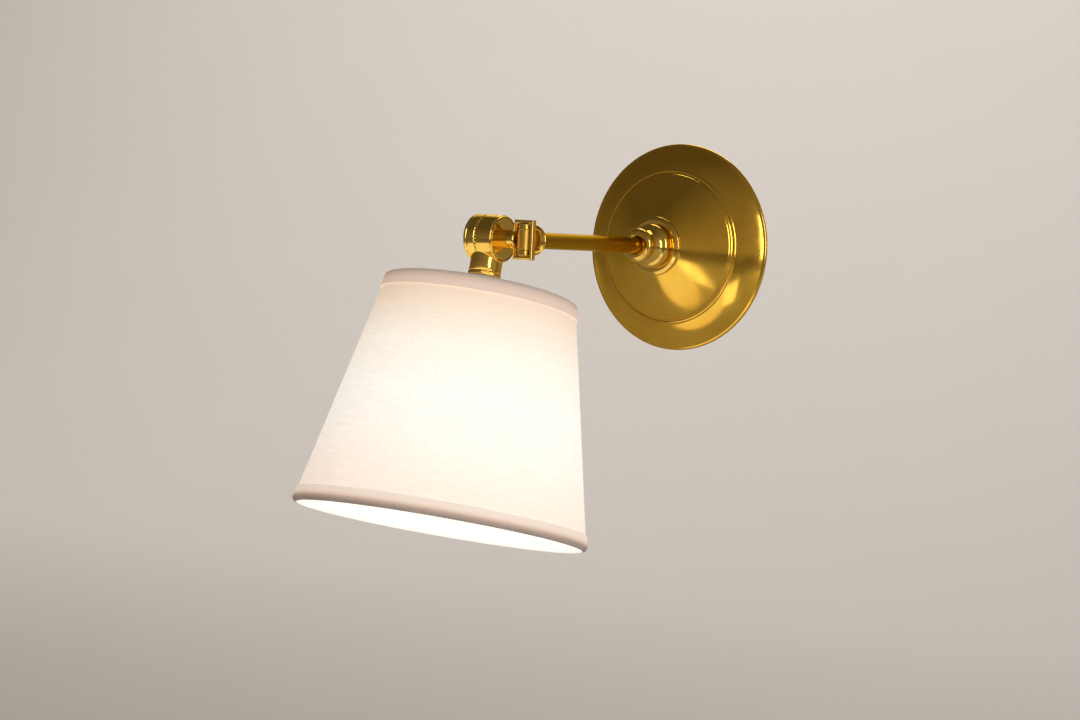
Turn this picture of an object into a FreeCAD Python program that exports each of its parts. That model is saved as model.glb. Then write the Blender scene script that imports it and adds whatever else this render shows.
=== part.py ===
import FreeCAD, Part
import math
import operator
import os
from types import SimpleNamespace

import Sketcher
from FreeCAD import Placement, Rotation, Vector

# A fabric shade wall light: a spun brass backplate, a straight arm, a swing joint, a drum knuckle that
# tilts, and an empire shade on a lampholder. Millimetres. The wall is the plane y = 0, the room is at
# -y, z is up, and the origin lies on the wall at the centre of the backplate.

SIZES = [
    # clearances
    ("fit_gap", 0.05, "between pieces that are fitted together and do not turn"),
    ("run_gap", 0.05, "radial clearance of a pin or axle that turns"),
    ("face_gap", 0.1, "between flat faces that slide on each other"),
    ("turn_gap", 0.3, "between curved faces that pass each other"),
    # wall bracket
    ("bracket_width", 26.0, "strap, across"),
    ("bracket_thick", 2.5, "strap"),
    ("bridge_height", 16.0, "front of the bridge from the wall"),
    ("bridge_half", 20.5, "half the length of the raised bridge"),
    ("foot_length", 26.5, "each foot on the wall"),
    ("slot_pitch", 60.0, "between the two wall slots"),
    ("slot_width", 4.8, "wall slot"),
    ("slot_length", 12.0, "wall slot, over its round ends"),
    # spun backplate, heights from the wall
    ("plate_radius", 66.3, "at the wall"),
    ("plate_wall", 1.2, "sheet thickness"),
    ("rim_height", 0.8, "straight edge at the wall"),
    ("rim_round", 4.6, "curve from the edge to the band"),
    ("shoulder_radius", 62.0, "outside of the band"),
    ("shoulder_height", 5.2, "outside of the band"),
    ("band_round", 50.0, "curve of the band"),
    ("crease_radius", 48.5, "foot of the step"),
    ("crease_height", 11.6, "foot of the step"),
    ("step_round", 2.6, "curve of the step"),
    ("step_radius", 46.2, "top of the step"),
    ("step_height", 14.0, "top of the step"),
    ("dome_round", 105.0, "curve of the dome"),
    ("crown_radius", 18.0, "flat top of the dome"),
    ("crown_height", 28.6, "flat top of the dome"),
    # turned collars on the arm at the plate
    ("flange_radius", 19.0, "base flange"),
    ("flange_thick", 2.6, "base flange"),
    ("boss_ring_radius", 14.2, "wide ring of the boss"),
    ("boss_ring_length", 6.0, "wide ring of the boss"),
    ("boss_cove_radius", 8.6, "waist of the boss"),
    ("boss_cove_round", 7.0, "hollow curve of the waist"),
    ("boss_bead_radius", 10.8, "front bead of the boss"),
    ("boss_bead_length", 5.0, "front bead of the boss"),
    ("boss_bead_fillet", 1.0, "slope behind the bead"),
    ("boss_length", 20.2, "whole boss"),
    ("grub_radius", 1.5, "grub screw in the boss"),
    ("grub_length", 6.5, "grub screw in the boss"),
    # arm
    ("arm_radius", 5.0, "tube, outside"),
    ("arm_bore", 3.9, "tube, inside radius"),
    ("arm_reach", 171.8, "wall to the swing axis"),
    ("arm_tail", 8.0, "start of the tube from the wall"),
    ("arm_nut_across", 14.0, "nut on the arm, across flats"),
    ("arm_nut_thick", 4.0, "nut on the arm"),
    # wiring in the bracket
    ("block_width", 20.0, "terminal block, across"),
    ("block_height", 9.0, "terminal block, up the wall"),
    ("block_depth", 8.0, "terminal block, off the bridge"),
    ("block_offset", 13.6, "centre of the terminal block above the arm"),
    ("block_pitch", 7.0, "between terminal screws, across"),
    ("block_rows", 4.4, "between terminal screws, up"),
    ("terminal_radius", 1.5, "terminal screw"),
    ("terminal_depth", 3.0, "terminal screw"),
    ("earth_drop", 13.2, "earth screw below the arm"),
    ("earth_screw_radius", 2.0, "earth screw"),
    ("earth_head_radius", 3.6, "earth screw head"),
    ("earth_head_thick", 2.2, "earth screw head"),
    ("earth_tag_radius", 4.2, "earth tag eye"),
    ("earth_tag_thick", 0.8, "earth tag"),
    ("earth_tag_length", 9.0, "earth tag tail"),
    ("earth_tag_width", 3.0, "earth tag tail"),
    ("earth_screw_end", 2.0, "earth screw past the bridge"),
    ("earth_slot_width", 0.9, "driver slot of the earth screw"),
    ("earth_slot_depth", 0.6, "driver slot of the earth screw"),
    ("lead_radius", 0.6, "insulated lead"),
    ("lead_bend", 4.4, "bends of the leads behind the bridge"),
    ("lead_back", 2.5, "the leads from the wall, behind the bridge"),
    ("lead_rise", 13.2, "where the leads enter the terminal block, above the arm"),
    ("lead_hole", 2.2, "hole for the leads in the bridge, radius"),
    ("lead_bore", 1.6, "wire way in the solid pieces"),
    ("lead_tip", 1.0, "stem leads past the end of the axle"),
    ("lead_slack", 3.0, "neck leads inside the wall of the drum"),
    # swing joint
    ("collar_radius", 9.3, "collar at the end of the arm"),
    ("collar_back", 9.4, "back of the collar from the swing axis"),
    ("collar_front", 6.8, "crown of the collar from the swing axis"),
    ("collar_edge", 0.8, "straight edge of the collar"),
    ("collar_round", 14.0, "curve of the collar"),
    ("collar_lip", 0.3, "flat crown of the collar round the arm"),
    ("barrel_radius", 4.4, "barrel of the knuckle"),
    ("barrel_height", 11.8, "barrel of the knuckle"),
    ("tongue_width", 4.4, "tongue between collar and barrel"),
    ("tongue_height", 9.0, "tongue between collar and barrel"),
    ("tongue_lap", 0.5, "tongue into the shoulder"),
    ("spigot_length", 11.0, "spigot in the arm tube"),
    ("spigot_lap", 0.2, "spigot into the shoulder"),
    ("cavity_radius", 2.6, "wire space in the barrel"),
    ("cavity_height", 4.6, "wire space in the barrel"),
    ("barrel_slot_width", 6.6, "slot for the leads in the barrel"),
    ("barrel_slot_height", 3.2, "slot for the leads in the barrel"),
    ("ring_width", 13.9, "swing ring, across"),
    ("ring_height", 23.7, "swing ring, up"),
    ("ring_depth", 4.0, "swing ring, along the arm"),
    ("ring_bar", 2.25, "side bars of the swing ring"),
    ("ring_cap", 2.45, "top and bottom bars of the swing ring"),
    ("ring_round", 0.7, "edges of the swing ring"),
    ("pin_radius", 1.3, "pivot pin"),
    ("pin_entry", 2.7, "pivot pin inside the barrel"),
    ("spacer_radius", 4.2, "spacer on the pivot pin"),
    # stem and drum knuckle, along the stem
    ("stem_radius", 5.7, "stem"),
    ("stem_start", 4.75, "end of the stem from the swing axis"),
    ("stem_round", 1.7, "rounded end of the stem"),
    ("drum_reach", 24.9, "centre of the drum from the swing axis"),
    ("drum_length", 20.1, "drum over its end cap"),
    ("drum_radius", 14.2, "drum"),
    ("drum_wall", 2.0, "wall of the drum"),
    ("drum_chamfer", 0.9, "chamfer round the open end of the drum"),
    ("cheek_gap", 0.3, "round the cheek in the mouth of the drum"),
    ("cheek_thick", 2.5, "polished cheek on the stem"),
    ("cheek_rim", 1.3, "rim of the drum round the cheek"),
    ("web_thick", 3.0, "web of the drum"),
    ("axle_radius", 4.0, "axle on the stem"),
    ("axle_length", 13.3, "axle past the drum face"),
    ("friction_thick", 0.6, "fibre washer"),
    ("friction_radius", 11.6, "fibre washer"),
    ("spring_thick", 0.9, "spring washer"),
    ("spring_dish", 0.35, "dish of the spring washer"),
    ("spring_radius", 7.0, "spring washer"),
    ("axle_washer_thick", 1.0, "plain washer"),
    ("axle_washer_radius", 7.0, "plain washer"),
    ("axle_nut_across", 12.0, "nut on the axle, across flats"),
    ("axle_nut_thick", 4.0, "nut on the axle"),
    ("cap_lip", 1.8, "end cap outside the drum"),
    ("cap_proud", 0.6, "end cap past the length of the drum"),
    ("cap_spigot", 2.2, "end cap inside the drum"),
    ("cap_round", 1.4, "rounded edge of the end cap"),
    ("drum_line_offset", 3.2, "turned line from the end cap"),
    ("drum_line_depth", 0.25, "turned line round the drum"),
    ("wire_hole_radius", 3.2, "hole from the drum to the neck"),
    ("wire_hole_offset", 2.0, "that hole from the middle of the drum"),
    # shade side, distances from the drum axis down the axis of the shade
    ("shade_tilt", 12.3, "tilt of the shade from upright, bottom towards the room, in degrees"),
    ("neck_radius", 9.7, "neck tube"),
    ("neck_wall", 1.8, "neck tube"),
    ("neck_drop", 21.2, "end of the neck"),
    ("neck_ring_radius", 10.1, "knurled ring"),
    ("neck_ring_length", 2.6, "knurled ring"),
    ("holder_wall", 1.2, "shell of the lampholder"),
    ("holder_spigot", 8.0, "hollow spigot in the neck"),
    ("holder_entry", 5.0, "bore of the spigot, radius"),
    ("holder_radius", 13.6, "lampholder"),
    ("holder_shoulder", 4.0, "rounded shoulder of the holder cap"),
    ("holder_cap_length", 14.0, "holder cap"),
    ("holder_body_length", 26.0, "threaded body of the holder"),
    ("core_thick", 9.0, "ceramic core"),
    ("core_drop", 10.0, "top of the core below the top of the holder cap"),
    ("socket_radius", 7.9, "threaded socket shell, outside"),
    ("socket_wall", 0.5, "threaded socket shell"),
    ("socket_length", 18.0, "threaded socket shell"),
    ("contact_width", 4.0, "centre contact strip"),
    ("contact_thick", 0.5, "centre contact strip"),
    ("shade_ring_radius", 17.6, "shade rings"),
    ("shade_ring_thick", 3.0, "shade rings"),
    ("shade_ring_drop", 46.5, "upper shade ring"),
    ("gimbal_radius", 20.5, "flat ring of the shade carrier"),
    ("gimbal_thick", 1.2, "flat ring of the shade carrier"),
    ("carrier_arms", 3, "wires of the shade carrier"),
    ("carrier_wire", 1.2, "radius of the carrier wires"),
    ("shade_drop", 32.2, "top edge of the shade"),
    ("shade_height", 143.4, "shade, along its axis"),
    ("shade_top_radius", 58.1, "top edge over the trim"),
    ("shade_bottom_radius", 89.0, "bottom edge over the trim"),
    ("panel_thick", 1.0, "fabric on its stiff lining"),
    ("trim_thick", 0.8, "binding"),
    ("trim_depth", 9.0, "binding outside"),
    ("trim_inner_depth", 6.0, "binding inside"),
    ("wire_radius", 1.25, "wire rings of the shade"),
    ("binding_gap", 0.15, "round the panel and the wire ring in the binding"),
    # lamp bulb
    ("cap_radius", 6.9, "screw cap of the bulb"),
    ("cap_wall", 1.0, "screw cap of the bulb"),
    ("cap_length", 20.0, "screw cap of the bulb"),
    ("cap_shoulder", 2.0, "cone at the tip of the screw cap"),
    ("cap_floor", 3.0, "solid tip of the screw cap"),
    ("glass_wall", 0.8, "bulb glass"),
    ("glass_radius", 22.5, "bulb glass"),
    ("glass_neck", 6.8, "neck of the glass"),
    ("glass_length", 56.0, "glass past the cap"),
    ("filament_radius", 0.9, "filament stick"),
    ("filament_length", 24.0, "filament stick"),
    ("filament_circle", 6.0, "circle of the filament sticks"),
    ("filament_count", 4, "filament sticks"),
    ("mount_radius", 3.0, "glass mount inside the bulb"),
    ("mount_length", 16.0, "glass mount inside the bulb"),
    ("mount_sink", 2.0, "seat of the mount below the rim of the cap"),
    ("mount_seat", 1.0, "seat of the mount"),
]

SIGNS = {"+": operator.add, "-": operator.sub, "*": operator.mul, "/": operator.truediv}


class Dim:
    """A size: what it is now, and the formula on the sheet that it is bound to."""

    def __init__(self, value, text):
        self.value = float(value)
        self.text = text

    def __add__(self, other):
        return joined(self, "+", other)

    def __radd__(self, other):
        return joined(other, "+", self)

    def __sub__(self, other):
        return joined(self, "-", other)

    def __rsub__(self, other):
        return joined(other, "-", self)

    def __mul__(self, other):
        return joined(self, "*", other)

    def __rmul__(self, other):
        return joined(other, "*", self)

    def __truediv__(self, other):
        return joined(self, "/", other)

    def __neg__(self):
        return joined(0, "-", self)


def dim(size):
    """A plain number as a size."""
    return size if isinstance(size, Dim) else Dim(size, repr(float(size)))


def joined(left, sign, right):
    left, right = dim(left), dim(right)
    return Dim(SIGNS[sign](left.value, right.value), f"({left.text} {sign} {right.text})")


doc = FreeCAD.newDocument("wall_light")
sheet = doc.addObject("Spreadsheet::Sheet", "Sizes")
for row, (alias, value, note) in enumerate(SIZES, start=1):
    sheet.set(f"A{row}", alias)
    sheet.set(f"B{row}", str(value))
    sheet.set(f"C{row}", note)
    sheet.setAlias(f"B{row}", alias)
doc.recompute()
S = SimpleNamespace(**{alias: Dim(value, f"Sizes.{alias}") for alias, value, note in SIZES})
nodes = {}


# ---------------------------------------------------------------- ways of making a piece

def bind(thing, name, size):
    """Set a property of a piece and tie it to the sheet."""
    thing.setExpression(name, dim(size).text)


def put(thing, at=(0, 0, 0), axis=(0, 0, 1), angle=0.0):
    """Place a piece, its place and angle tied to the sheet."""
    base = Vector(*(dim(size).value for size in at))
    thing.Placement = Placement(base, Rotation(Vector(*axis), dim(angle).value))
    for letter, size in zip("xyz", at):
        bind(thing, f"Placement.Base.{letter}", size)
    if isinstance(angle, Dim):
        bind(thing, "Placement.Rotation.Angle", angle)
    return thing


def on_wall(thing):
    """Local z runs from the wall into the room, along the arm."""
    return put(thing, axis=(1, 0, 0), angle=90.0)


def on_stem(thing):
    """Local z runs from the swing axis out along the stem, towards -x; local x is up."""
    return put(thing, at=(0, -S.arm_reach, 0), axis=(0, 1, 0), angle=-90.0)


def on_shade(thing):
    """Local z runs from the drum axis down the axis of the shade; local x is the drum axis."""
    return put(thing, at=(-S.drum_reach, -S.arm_reach, 0), axis=(1, 0, 0), angle=180.0 - S.shade_tilt)


def on_pins(thing):
    """Local z is the swing axis, and local zero the middle of the swing ring."""
    return put(thing, at=(0, -S.arm_reach, 0))


def as_built(thing):
    """The piece's own axes are those of the wall light."""
    return put(thing)


def node(label, thing):
    thing.Label = label
    nodes[label] = thing
    return thing


def new_body(name, frame):
    return frame(doc.addObject("PartDesign::Body", name))


def new_sketch(body, role):
    plane = [feature for feature in body.Origin.OriginFeatures if feature.Role == role][0]
    sketch = body.newObject("Sketcher::SketchObject", f"{body.Name}_sketch")
    sketch.AttachmentSupport = [(plane, "")]
    sketch.MapMode = "FlatFace"
    return sketch


def arc_between(start, end, radius, side):
    """An arc of this radius from start to end that bulges to its left (side 1) or right (side -1)."""
    chord = end - start
    half = chord.Length / 2
    normal = Vector(-chord.y, chord.x, 0).normalize() * side
    centre = (start + end) * 0.5 - normal * math.sqrt(max(0.0, radius * radius - half * half))
    angles = [math.atan2(point.y - centre.y, point.x - centre.x) for point in (start, end)]
    if side > 0:
        angles.reverse()
    return Part.ArcOfCircle(Part.Circle(centre, Vector(0, 0, 1), radius), *angles)


def pin(sketch, edge, end, way, size):
    """Tie one end of an edge, or its centre, to a size across (way 0) or up (way 1)."""
    if not isinstance(size, Dim) and size == 0:
        sketch.addConstraint(Sketcher.Constraint("PointOnObject", edge, end, (-2, -1)[way]))
        return
    kind = ("DistanceX", "DistanceY")[way]
    index = sketch.addConstraint(Sketcher.Constraint(kind, -1, 1, edge, end, dim(size).value))
    if isinstance(size, Dim):
        sketch.setExpression(f"Constraints[{index}]", size.text)


def set_radius(sketch, edge, radius):
    index = sketch.addConstraint(Sketcher.Constraint("Radius", edge, dim(radius).value))
    if isinstance(radius, Dim):
        sketch.setExpression(f"Constraints[{index}]", radius.text)


def outline(sketch, corners):
    """A closed outline. A corner is (across, up), or (across, up, side) where a half circle follows,
    or (across, up, radius, side) where an arc follows."""
    count = len(corners)
    points = [Vector(dim(corner[0]).value, dim(corner[1]).value, 0) for corner in corners]
    ends = []
    for index, corner in enumerate(corners):
        start, end = points[index], points[(index + 1) % count]
        if len(corner) == 2:
            edge = sketch.addGeometry(Part.LineSegment(start, end), False)
            ends.append((edge, 1, 2))
            continue
        side = corner[-1]
        radius = dim(corner[2]).value if len(corner) == 4 else (end - start).Length / 2
        edge = sketch.addGeometry(arc_between(start, end, radius, side), False)
        ends.append((edge, 2, 1) if side > 0 else (edge, 1, 2))
    for index, (edge, first, last) in enumerate(ends):
        following = ends[(index + 1) % count]
        sketch.addConstraint(Sketcher.Constraint("Coincident", edge, last, following[0], following[1]))
    for index, ((edge, first, last), corner) in enumerate(zip(ends, corners)):
        for way in (0, 1):
            pin(sketch, edge, first, way, corner[way])
        if len(corner) == 3:
            chord = points[(index + 1) % count] - points[index]
            way = 0 if abs(chord.x) < abs(chord.y) else 1
            pin(sketch, edge, 3, way, corner[way])
        if len(corner) == 4:
            set_radius(sketch, edge, corner[2])


def circle(sketch, centre, radius):
    middle = Vector(dim(centre[0]).value, dim(centre[1]).value, 0)
    edge = sketch.addGeometry(Part.Circle(middle, Vector(0, 0, 1), dim(radius).value), False)
    for way in (0, 1):
        pin(sketch, edge, 3, way, centre[way])
    set_radius(sketch, edge, radius)


def revolve(body, sketch, axis):
    turn = body.newObject("PartDesign::Revolution", f"{body.Name}_turned")
    turn.Profile = (sketch, [""])
    turn.ReferenceAxis = (sketch, [axis])
    turn.Angle = 360.0
    body.Tip = turn
    return turn


def lathe(name, frame, corners, axis="V_Axis"):
    """A blank turned on a lathe: its outline is (radius, height), or (length, radius) about H_Axis."""
    body = new_body(name, frame)
    sketch = new_sketch(body, "XZ_Plane")
    outline(sketch, corners)
    revolve(body, sketch, axis)
    return body


def turned(label, frame, corners, axis="V_Axis"):
    """A whole piece that is turned."""
    return node(label, lathe(label, frame, corners, axis))


def padded(body, sketch, length, middle=False, back=False):
    pad = body.newObject("PartDesign::Pad", f"{body.Name}_pad")
    pad.Profile = (sketch, [""])
    pad.Midplane = middle
    pad.Reversed = back
    bind(pad, "Length", length)
    body.Tip = pad
    return pad


def cut_through(body, sketch):
    pocket = body.newObject("PartDesign::Pocket", f"{body.Name}_pocket")
    pocket.Profile = (sketch, [""])
    pocket.Type = "ThroughAll"
    pocket.Midplane = True
    body.Tip = pocket
    return pocket


def washer_outline(inner, outer, start, thick):
    return [(inner, start), (outer, start), (outer, start + thick), (inner, start + thick)]


def rod(name, radius, length, at, axis=(0, 0, 1), angle=0.0):
    """A plain cylinder from a point, along local z turned by the axis and angle."""
    piece = doc.addObject("Part::Cylinder", name)
    bind(piece, "Radius", radius)
    bind(piece, "Height", length)
    return put(piece, at, axis, angle)


def block(name, size, at):
    """A box centred on a point."""
    piece = doc.addObject("Part::Box", name)
    for name_of_side, side in zip(("Length", "Width", "Height"), size):
        bind(piece, name_of_side, side)
    return put(piece, [start - side / 2 for start, side in zip(map(dim, at), map(dim, size))])


def joined_solid(name, pieces):
    fuse = doc.addObject("Part::MultiFuse", name)
    fuse.Shapes = pieces
    return fuse


def drilled(name, base, tools):
    cut = doc.addObject("Part::Cut", name)
    cut.Base = base
    cut.Tool = tools[0] if len(tools) == 1 else joined_solid(f"{name}_tools", tools)
    return cut


def group(name, pieces):
    """Separate solids that share one node."""
    together = doc.addObject("Part::Compound", name)
    together.Links = pieces
    return together


def hexagon(label, frame, across, bore, start, thick):
    """A hexagon nut: a six-sided pad from its start, with a round bore."""
    corner = across / math.sqrt(3)
    nut = doc.addObject("Part::Prism", f"{label}_hexagon")
    nut.Polygon = 6
    bind(nut, "Circumradius", corner)
    bind(nut, "Height", thick)
    put(nut, (0, 0, start))
    hole = rod(f"{label}_hole", bore, thick, (0, 0, start))
    return node(label, frame(drilled(label, nut, [hole])))


# A cutting tool passes the faces that it cuts by this much. The flare of the bulb meets its ball
# where the radius of the ball has this share across and up.
OVER = 1.0
FLARE_ACROSS, FLARE_UP = 0.6, 0.8
ALONG_ARM = {"axis": (1, 0, 0), "angle": 90.0}
ALONG_STEM = {"axis": (0, 1, 0), "angle": -90.0}


# ---------------------------------------------------------------- on the wall

def wall_bracket():
    """Steel strap: two slotted feet on the wall and a raised bridge that carries the arm."""
    body = node("wall_bracket", new_body("wall_bracket", as_built))
    side = new_sketch(body, "YZ_Plane")
    inner = S.bridge_half - S.bracket_thick
    end = S.bridge_half + S.foot_length
    front = -S.bridge_height
    back = -(S.bridge_height - S.bracket_thick)
    foot = -S.bracket_thick
    outline(side, [
        (0, end), (0, inner), (back, inner), (back, -inner), (0, -inner), (0, -end),
        (foot, -end), (foot, -S.bridge_half), (front, -S.bridge_half), (front, S.bridge_half),
        (foot, S.bridge_half), (foot, end),
    ])
    padded(body, side, S.bracket_width, middle=True)
    face = new_sketch(body, "XZ_Plane")
    half = S.slot_width / 2
    straight = (S.slot_length - S.slot_width) / 2
    for side_sign in (1, -1):
        middle = S.slot_pitch / 2 * side_sign
        outline(face, [
            (half, middle - straight), (half, middle + straight, -1),
            (-half, middle + straight), (-half, middle - straight, -1),
        ])
    circle(face, (0, 0), S.arm_radius + S.fit_gap)
    circle(face, (0, -S.earth_drop), S.earth_screw_radius + S.fit_gap)
    circle(face, (0, S.lead_rise), S.lead_hole)
    cut_through(body, face)


def backplate():
    """Spun brass plate: rolled rim, sloping band, step and dome, open towards the wall."""
    body = node("backplate", new_body("backplate", on_wall))
    sketch = new_sketch(body, "XZ_Plane")
    outline(sketch, [
        (0, 0), (S.plate_radius, 0), (S.plate_radius, S.rim_height, S.rim_round, -1),
        (S.shoulder_radius, S.shoulder_height, S.band_round, -1),
        (S.crease_radius, S.crease_height, S.step_round, -1),
        (S.step_radius, S.step_height, S.dome_round, -1),
        (S.crown_radius, S.crown_height), (0, S.crown_height),
    ])
    spun = revolve(body, sketch, "V_Axis")
    doc.recompute()
    back = [f"Face{number}" for number, face in enumerate(spun.Shape.Faces, start=1)
            if face.BoundBox.ZMax < 0.001]
    shell = body.newObject("PartDesign::Thickness", "backplate_shell")
    shell.Base = (spun, back)
    shell.Reversed = True
    bind(shell, "Value", S.plate_wall)
    body.Tip = shell
    hole = new_sketch(body, "XY_Plane")
    circle(hole, (0, 0), S.arm_radius + S.fit_gap)
    cut_through(body, hole)


def base_flange():
    """Turned disc between the dome and the boss."""
    edge = S.flange_thick / 2
    start = S.crown_height
    turned("base_flange", on_wall, [
        (S.arm_radius + S.fit_gap, start), (S.flange_radius - edge, start, -1),
        (S.flange_radius - edge, start + S.flange_thick), (S.arm_radius + S.fit_gap, start + S.flange_thick),
    ])


def arm_boss():
    """Turned boss that slides on the arm: a wide ring, a hollow waist and a front bead."""
    start = S.crown_height + S.flange_thick
    bead = start + S.boss_length - S.boss_bead_length
    end = start + S.boss_length
    ring = start + S.boss_ring_length
    bore = S.arm_radius + S.fit_gap
    round_edge = S.boss_ring_length / 2
    neck = S.boss_ring_radius - round_edge
    bead_edge = S.boss_bead_length / 2
    bead_neck = S.boss_bead_radius - bead_edge
    blank = lathe("arm_boss_blank", on_wall, [
        (bore, start), (neck, start, -1), (neck, ring, S.boss_cove_round, 1),
        (S.boss_cove_radius, bead - S.boss_bead_fillet), (bead_neck, bead, -1), (bead_neck, end), (bore, end),
    ])
    depth = S.boss_ring_radius - bore
    across = -(start + round_edge)
    hole = rod("grub_hole", S.grub_radius + S.fit_gap, depth + 2 * OVER,
               (0, across, -(S.boss_ring_radius + OVER)))
    node("arm_boss", drilled("arm_boss", blank, [hole]))
    grub = rod("boss_grub_screw", S.grub_radius, S.grub_length,
               (0, across, -(bore + S.grub_length)))
    node("boss_grub_screw", grub)


def arm_tube():
    """Straight brass tube, held in the bridge by two nuts and ending in the collar."""
    end = S.arm_reach - S.collar_back + S.collar_edge
    turned("arm_tube", on_wall, washer_outline(S.arm_bore, S.arm_radius, S.arm_tail, end - S.arm_tail))


def arm_nuts():
    """The nuts on both sides of the bridge."""
    bore = S.arm_radius + S.fit_gap
    back = S.bridge_height - S.bracket_thick - S.arm_nut_thick
    hexagon("inner_arm_nut", on_wall, S.arm_nut_across, bore, back, S.arm_nut_thick)
    hexagon("outer_arm_nut", on_wall, S.arm_nut_across, bore, S.bridge_height, S.arm_nut_thick)


def terminal_block():
    """Moulded two-way block on the bridge, with four brass screws."""
    middle = -(S.bridge_height + S.block_depth / 2)
    front = -(S.bridge_height + S.block_depth)
    body = block("block_body", (S.block_width, S.block_depth, S.block_height), (0, middle, S.block_offset))
    holes, screws = [], []
    for across in (-1, 1):
        for up in (-1, 1):
            height = S.block_offset + S.block_rows / 2 * up
            place = (S.block_pitch / 2 * across, front + S.terminal_depth, height)
            name = f"terminal_{across + 1}_{up + 1}"
            holes.append(rod(f"{name}_hole", S.terminal_radius + S.fit_gap, S.terminal_depth + OVER, place,
                             **ALONG_ARM))
            screws.append(rod(name, S.terminal_radius, S.terminal_depth - S.face_gap, place, **ALONG_ARM))
    node("terminal_block", drilled("terminal_block", body, holes))
    node("terminal_screws", group("terminal_screws", screws))


def earth_terminal():
    """Pan-head screw in the bridge with a ring tag under its head."""
    face = -S.bridge_height
    eye = rod("tag_eye", S.earth_tag_radius, S.earth_tag_thick, (0, face, -S.earth_drop), **ALONG_ARM)
    tail = block("tag_tail", (S.earth_tag_length, S.earth_tag_thick, S.earth_tag_width),
                 (S.earth_tag_length / 2, face - S.earth_tag_thick / 2, -S.earth_drop))
    bore = rod("tag_bore", S.earth_screw_radius + S.fit_gap, S.earth_tag_thick + 2 * OVER,
               (0, face + OVER, -S.earth_drop), **ALONG_ARM)
    node("earth_tag", drilled("earth_tag", joined_solid("tag_blank", [eye, tail]), [bore]))
    under = face - S.earth_tag_thick
    head = rod("earth_head", S.earth_head_radius, S.earth_head_thick, (0, under, -S.earth_drop), **ALONG_ARM)
    shank_length = S.bracket_thick + S.earth_tag_thick + S.earth_screw_end
    shank = rod("earth_shank", S.earth_screw_radius, shank_length,
                (0, under + shank_length, -S.earth_drop), **ALONG_ARM)
    slot = block("earth_slot", (S.earth_head_radius * 2 + OVER, S.earth_slot_depth * 2, S.earth_slot_width),
                 (0, under - S.earth_head_thick, -S.earth_drop))
    screw = joined_solid("earth_screw_blank", [head, shank])
    node("earth_screw", drilled("earth_screw", screw, [slot]))


def bend(name, radius, wire, centre, turn):
    """A quarter turn of a lead in a plane across the wall, about a centre."""
    piece = doc.addObject("Part::Torus", name)
    bind(piece, "Radius1", radius)
    bind(piece, "Radius2", wire)
    piece.Angle3 = 90.0
    put(piece, centre)
    piece.Placement = Placement(piece.Placement.Base,
                                Rotation(Vector(1, 0, 0), turn) * Rotation(Vector(1, 1, 1), 120.0))
    return piece


def arm_leads():
    """Two insulated leads side by side: from the terminal block back through the bridge, round behind
    the tail of the arm and through the tube to the barrel."""
    near = S.lead_back + S.lead_bend
    leads = []
    for index, side in enumerate((-1, 1)):
        name = f"arm_lead_{index}"
        across = (S.lead_radius + S.fit_gap) * side
        size = S.lead_radius
        leads.append(joined_solid(name, [
            rod(f"{name}_run", size, S.arm_reach - S.cavity_radius - near, (across, -near, 0), **ALONG_ARM),
            bend(f"{name}_turn", S.lead_bend, size, (across, -near, S.lead_bend), -90.0),
            rod(f"{name}_rise", size, S.lead_rise - 2 * S.lead_bend, (across, -S.lead_back, S.lead_bend)),
            bend(f"{name}_return", S.lead_bend, size, (across, -near, S.lead_rise - S.lead_bend), 0.0),
            rod(f"{name}_entry", size, S.bridge_height - near, (across, -near, S.lead_rise), **ALONG_ARM),
        ]))
    node("arm_leads", group("arm_leads", leads))


def domed_collar():
    """Turned collar round the end of the arm, domed towards the swing joint."""
    back = S.arm_reach - S.collar_back
    front = S.arm_reach - S.collar_front
    bore = S.arm_radius + S.fit_gap
    turned("domed_collar", on_wall, [
        (bore, back), (S.collar_radius, back),
        (S.collar_radius, back + S.collar_edge, S.collar_round, -1),
        (bore + S.collar_lip, front), (bore, front),
    ])


def arm_knuckle():
    """Turned and milled piece in the end of the arm: spigot, shoulder, tongue and upright barrel."""
    tube_end = S.arm_reach - S.collar_back + S.collar_edge
    shoulder_end = S.arm_reach - S.collar_front
    spigot = rod("spigot", S.arm_bore - S.fit_gap, S.spigot_length + S.spigot_lap,
                 (0, -(tube_end - S.spigot_length), 0), **ALONG_ARM)
    shoulder = rod("shoulder", S.arm_radius, shoulder_end - tube_end, (0, -tube_end, 0), **ALONG_ARM)
    tongue_length = S.collar_front + S.tongue_lap
    tongue = block("tongue", (S.tongue_width, tongue_length, S.tongue_height),
                   (0, -(S.arm_reach - tongue_length / 2), 0))
    barrel = rod("barrel", S.barrel_radius, S.barrel_height, (0, -S.arm_reach, -S.barrel_height / 2))
    solid = joined_solid("knuckle_blank", [spigot, shoulder, tongue, barrel])
    entry = S.pin_entry + S.face_gap
    reach = S.barrel_height / 2 - entry
    tools = [
        rod("upper_pin_hole", S.pin_radius + S.run_gap, entry + OVER, (0, -S.arm_reach, reach)),
        rod("lower_pin_hole", S.pin_radius + S.run_gap, entry + OVER,
            (0, -S.arm_reach, -reach - entry - OVER)),
        rod("cavity", S.cavity_radius, S.cavity_height, (0, -S.arm_reach, -S.cavity_height / 2)),
        rod("knuckle_bore", S.lead_bore, S.spigot_length + S.collar_back + OVER,
            (0, -(tube_end - S.spigot_length - OVER), 0), **ALONG_ARM),
        block("barrel_slot", (S.barrel_radius + OVER, S.barrel_slot_width, S.barrel_slot_height),
              (-(S.barrel_radius + OVER) / 2, -S.arm_reach, 0)),
    ]
    node("arm_knuckle", drilled("arm_knuckle", solid, tools))


# ---------------------------------------------------------------- what swings

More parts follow.
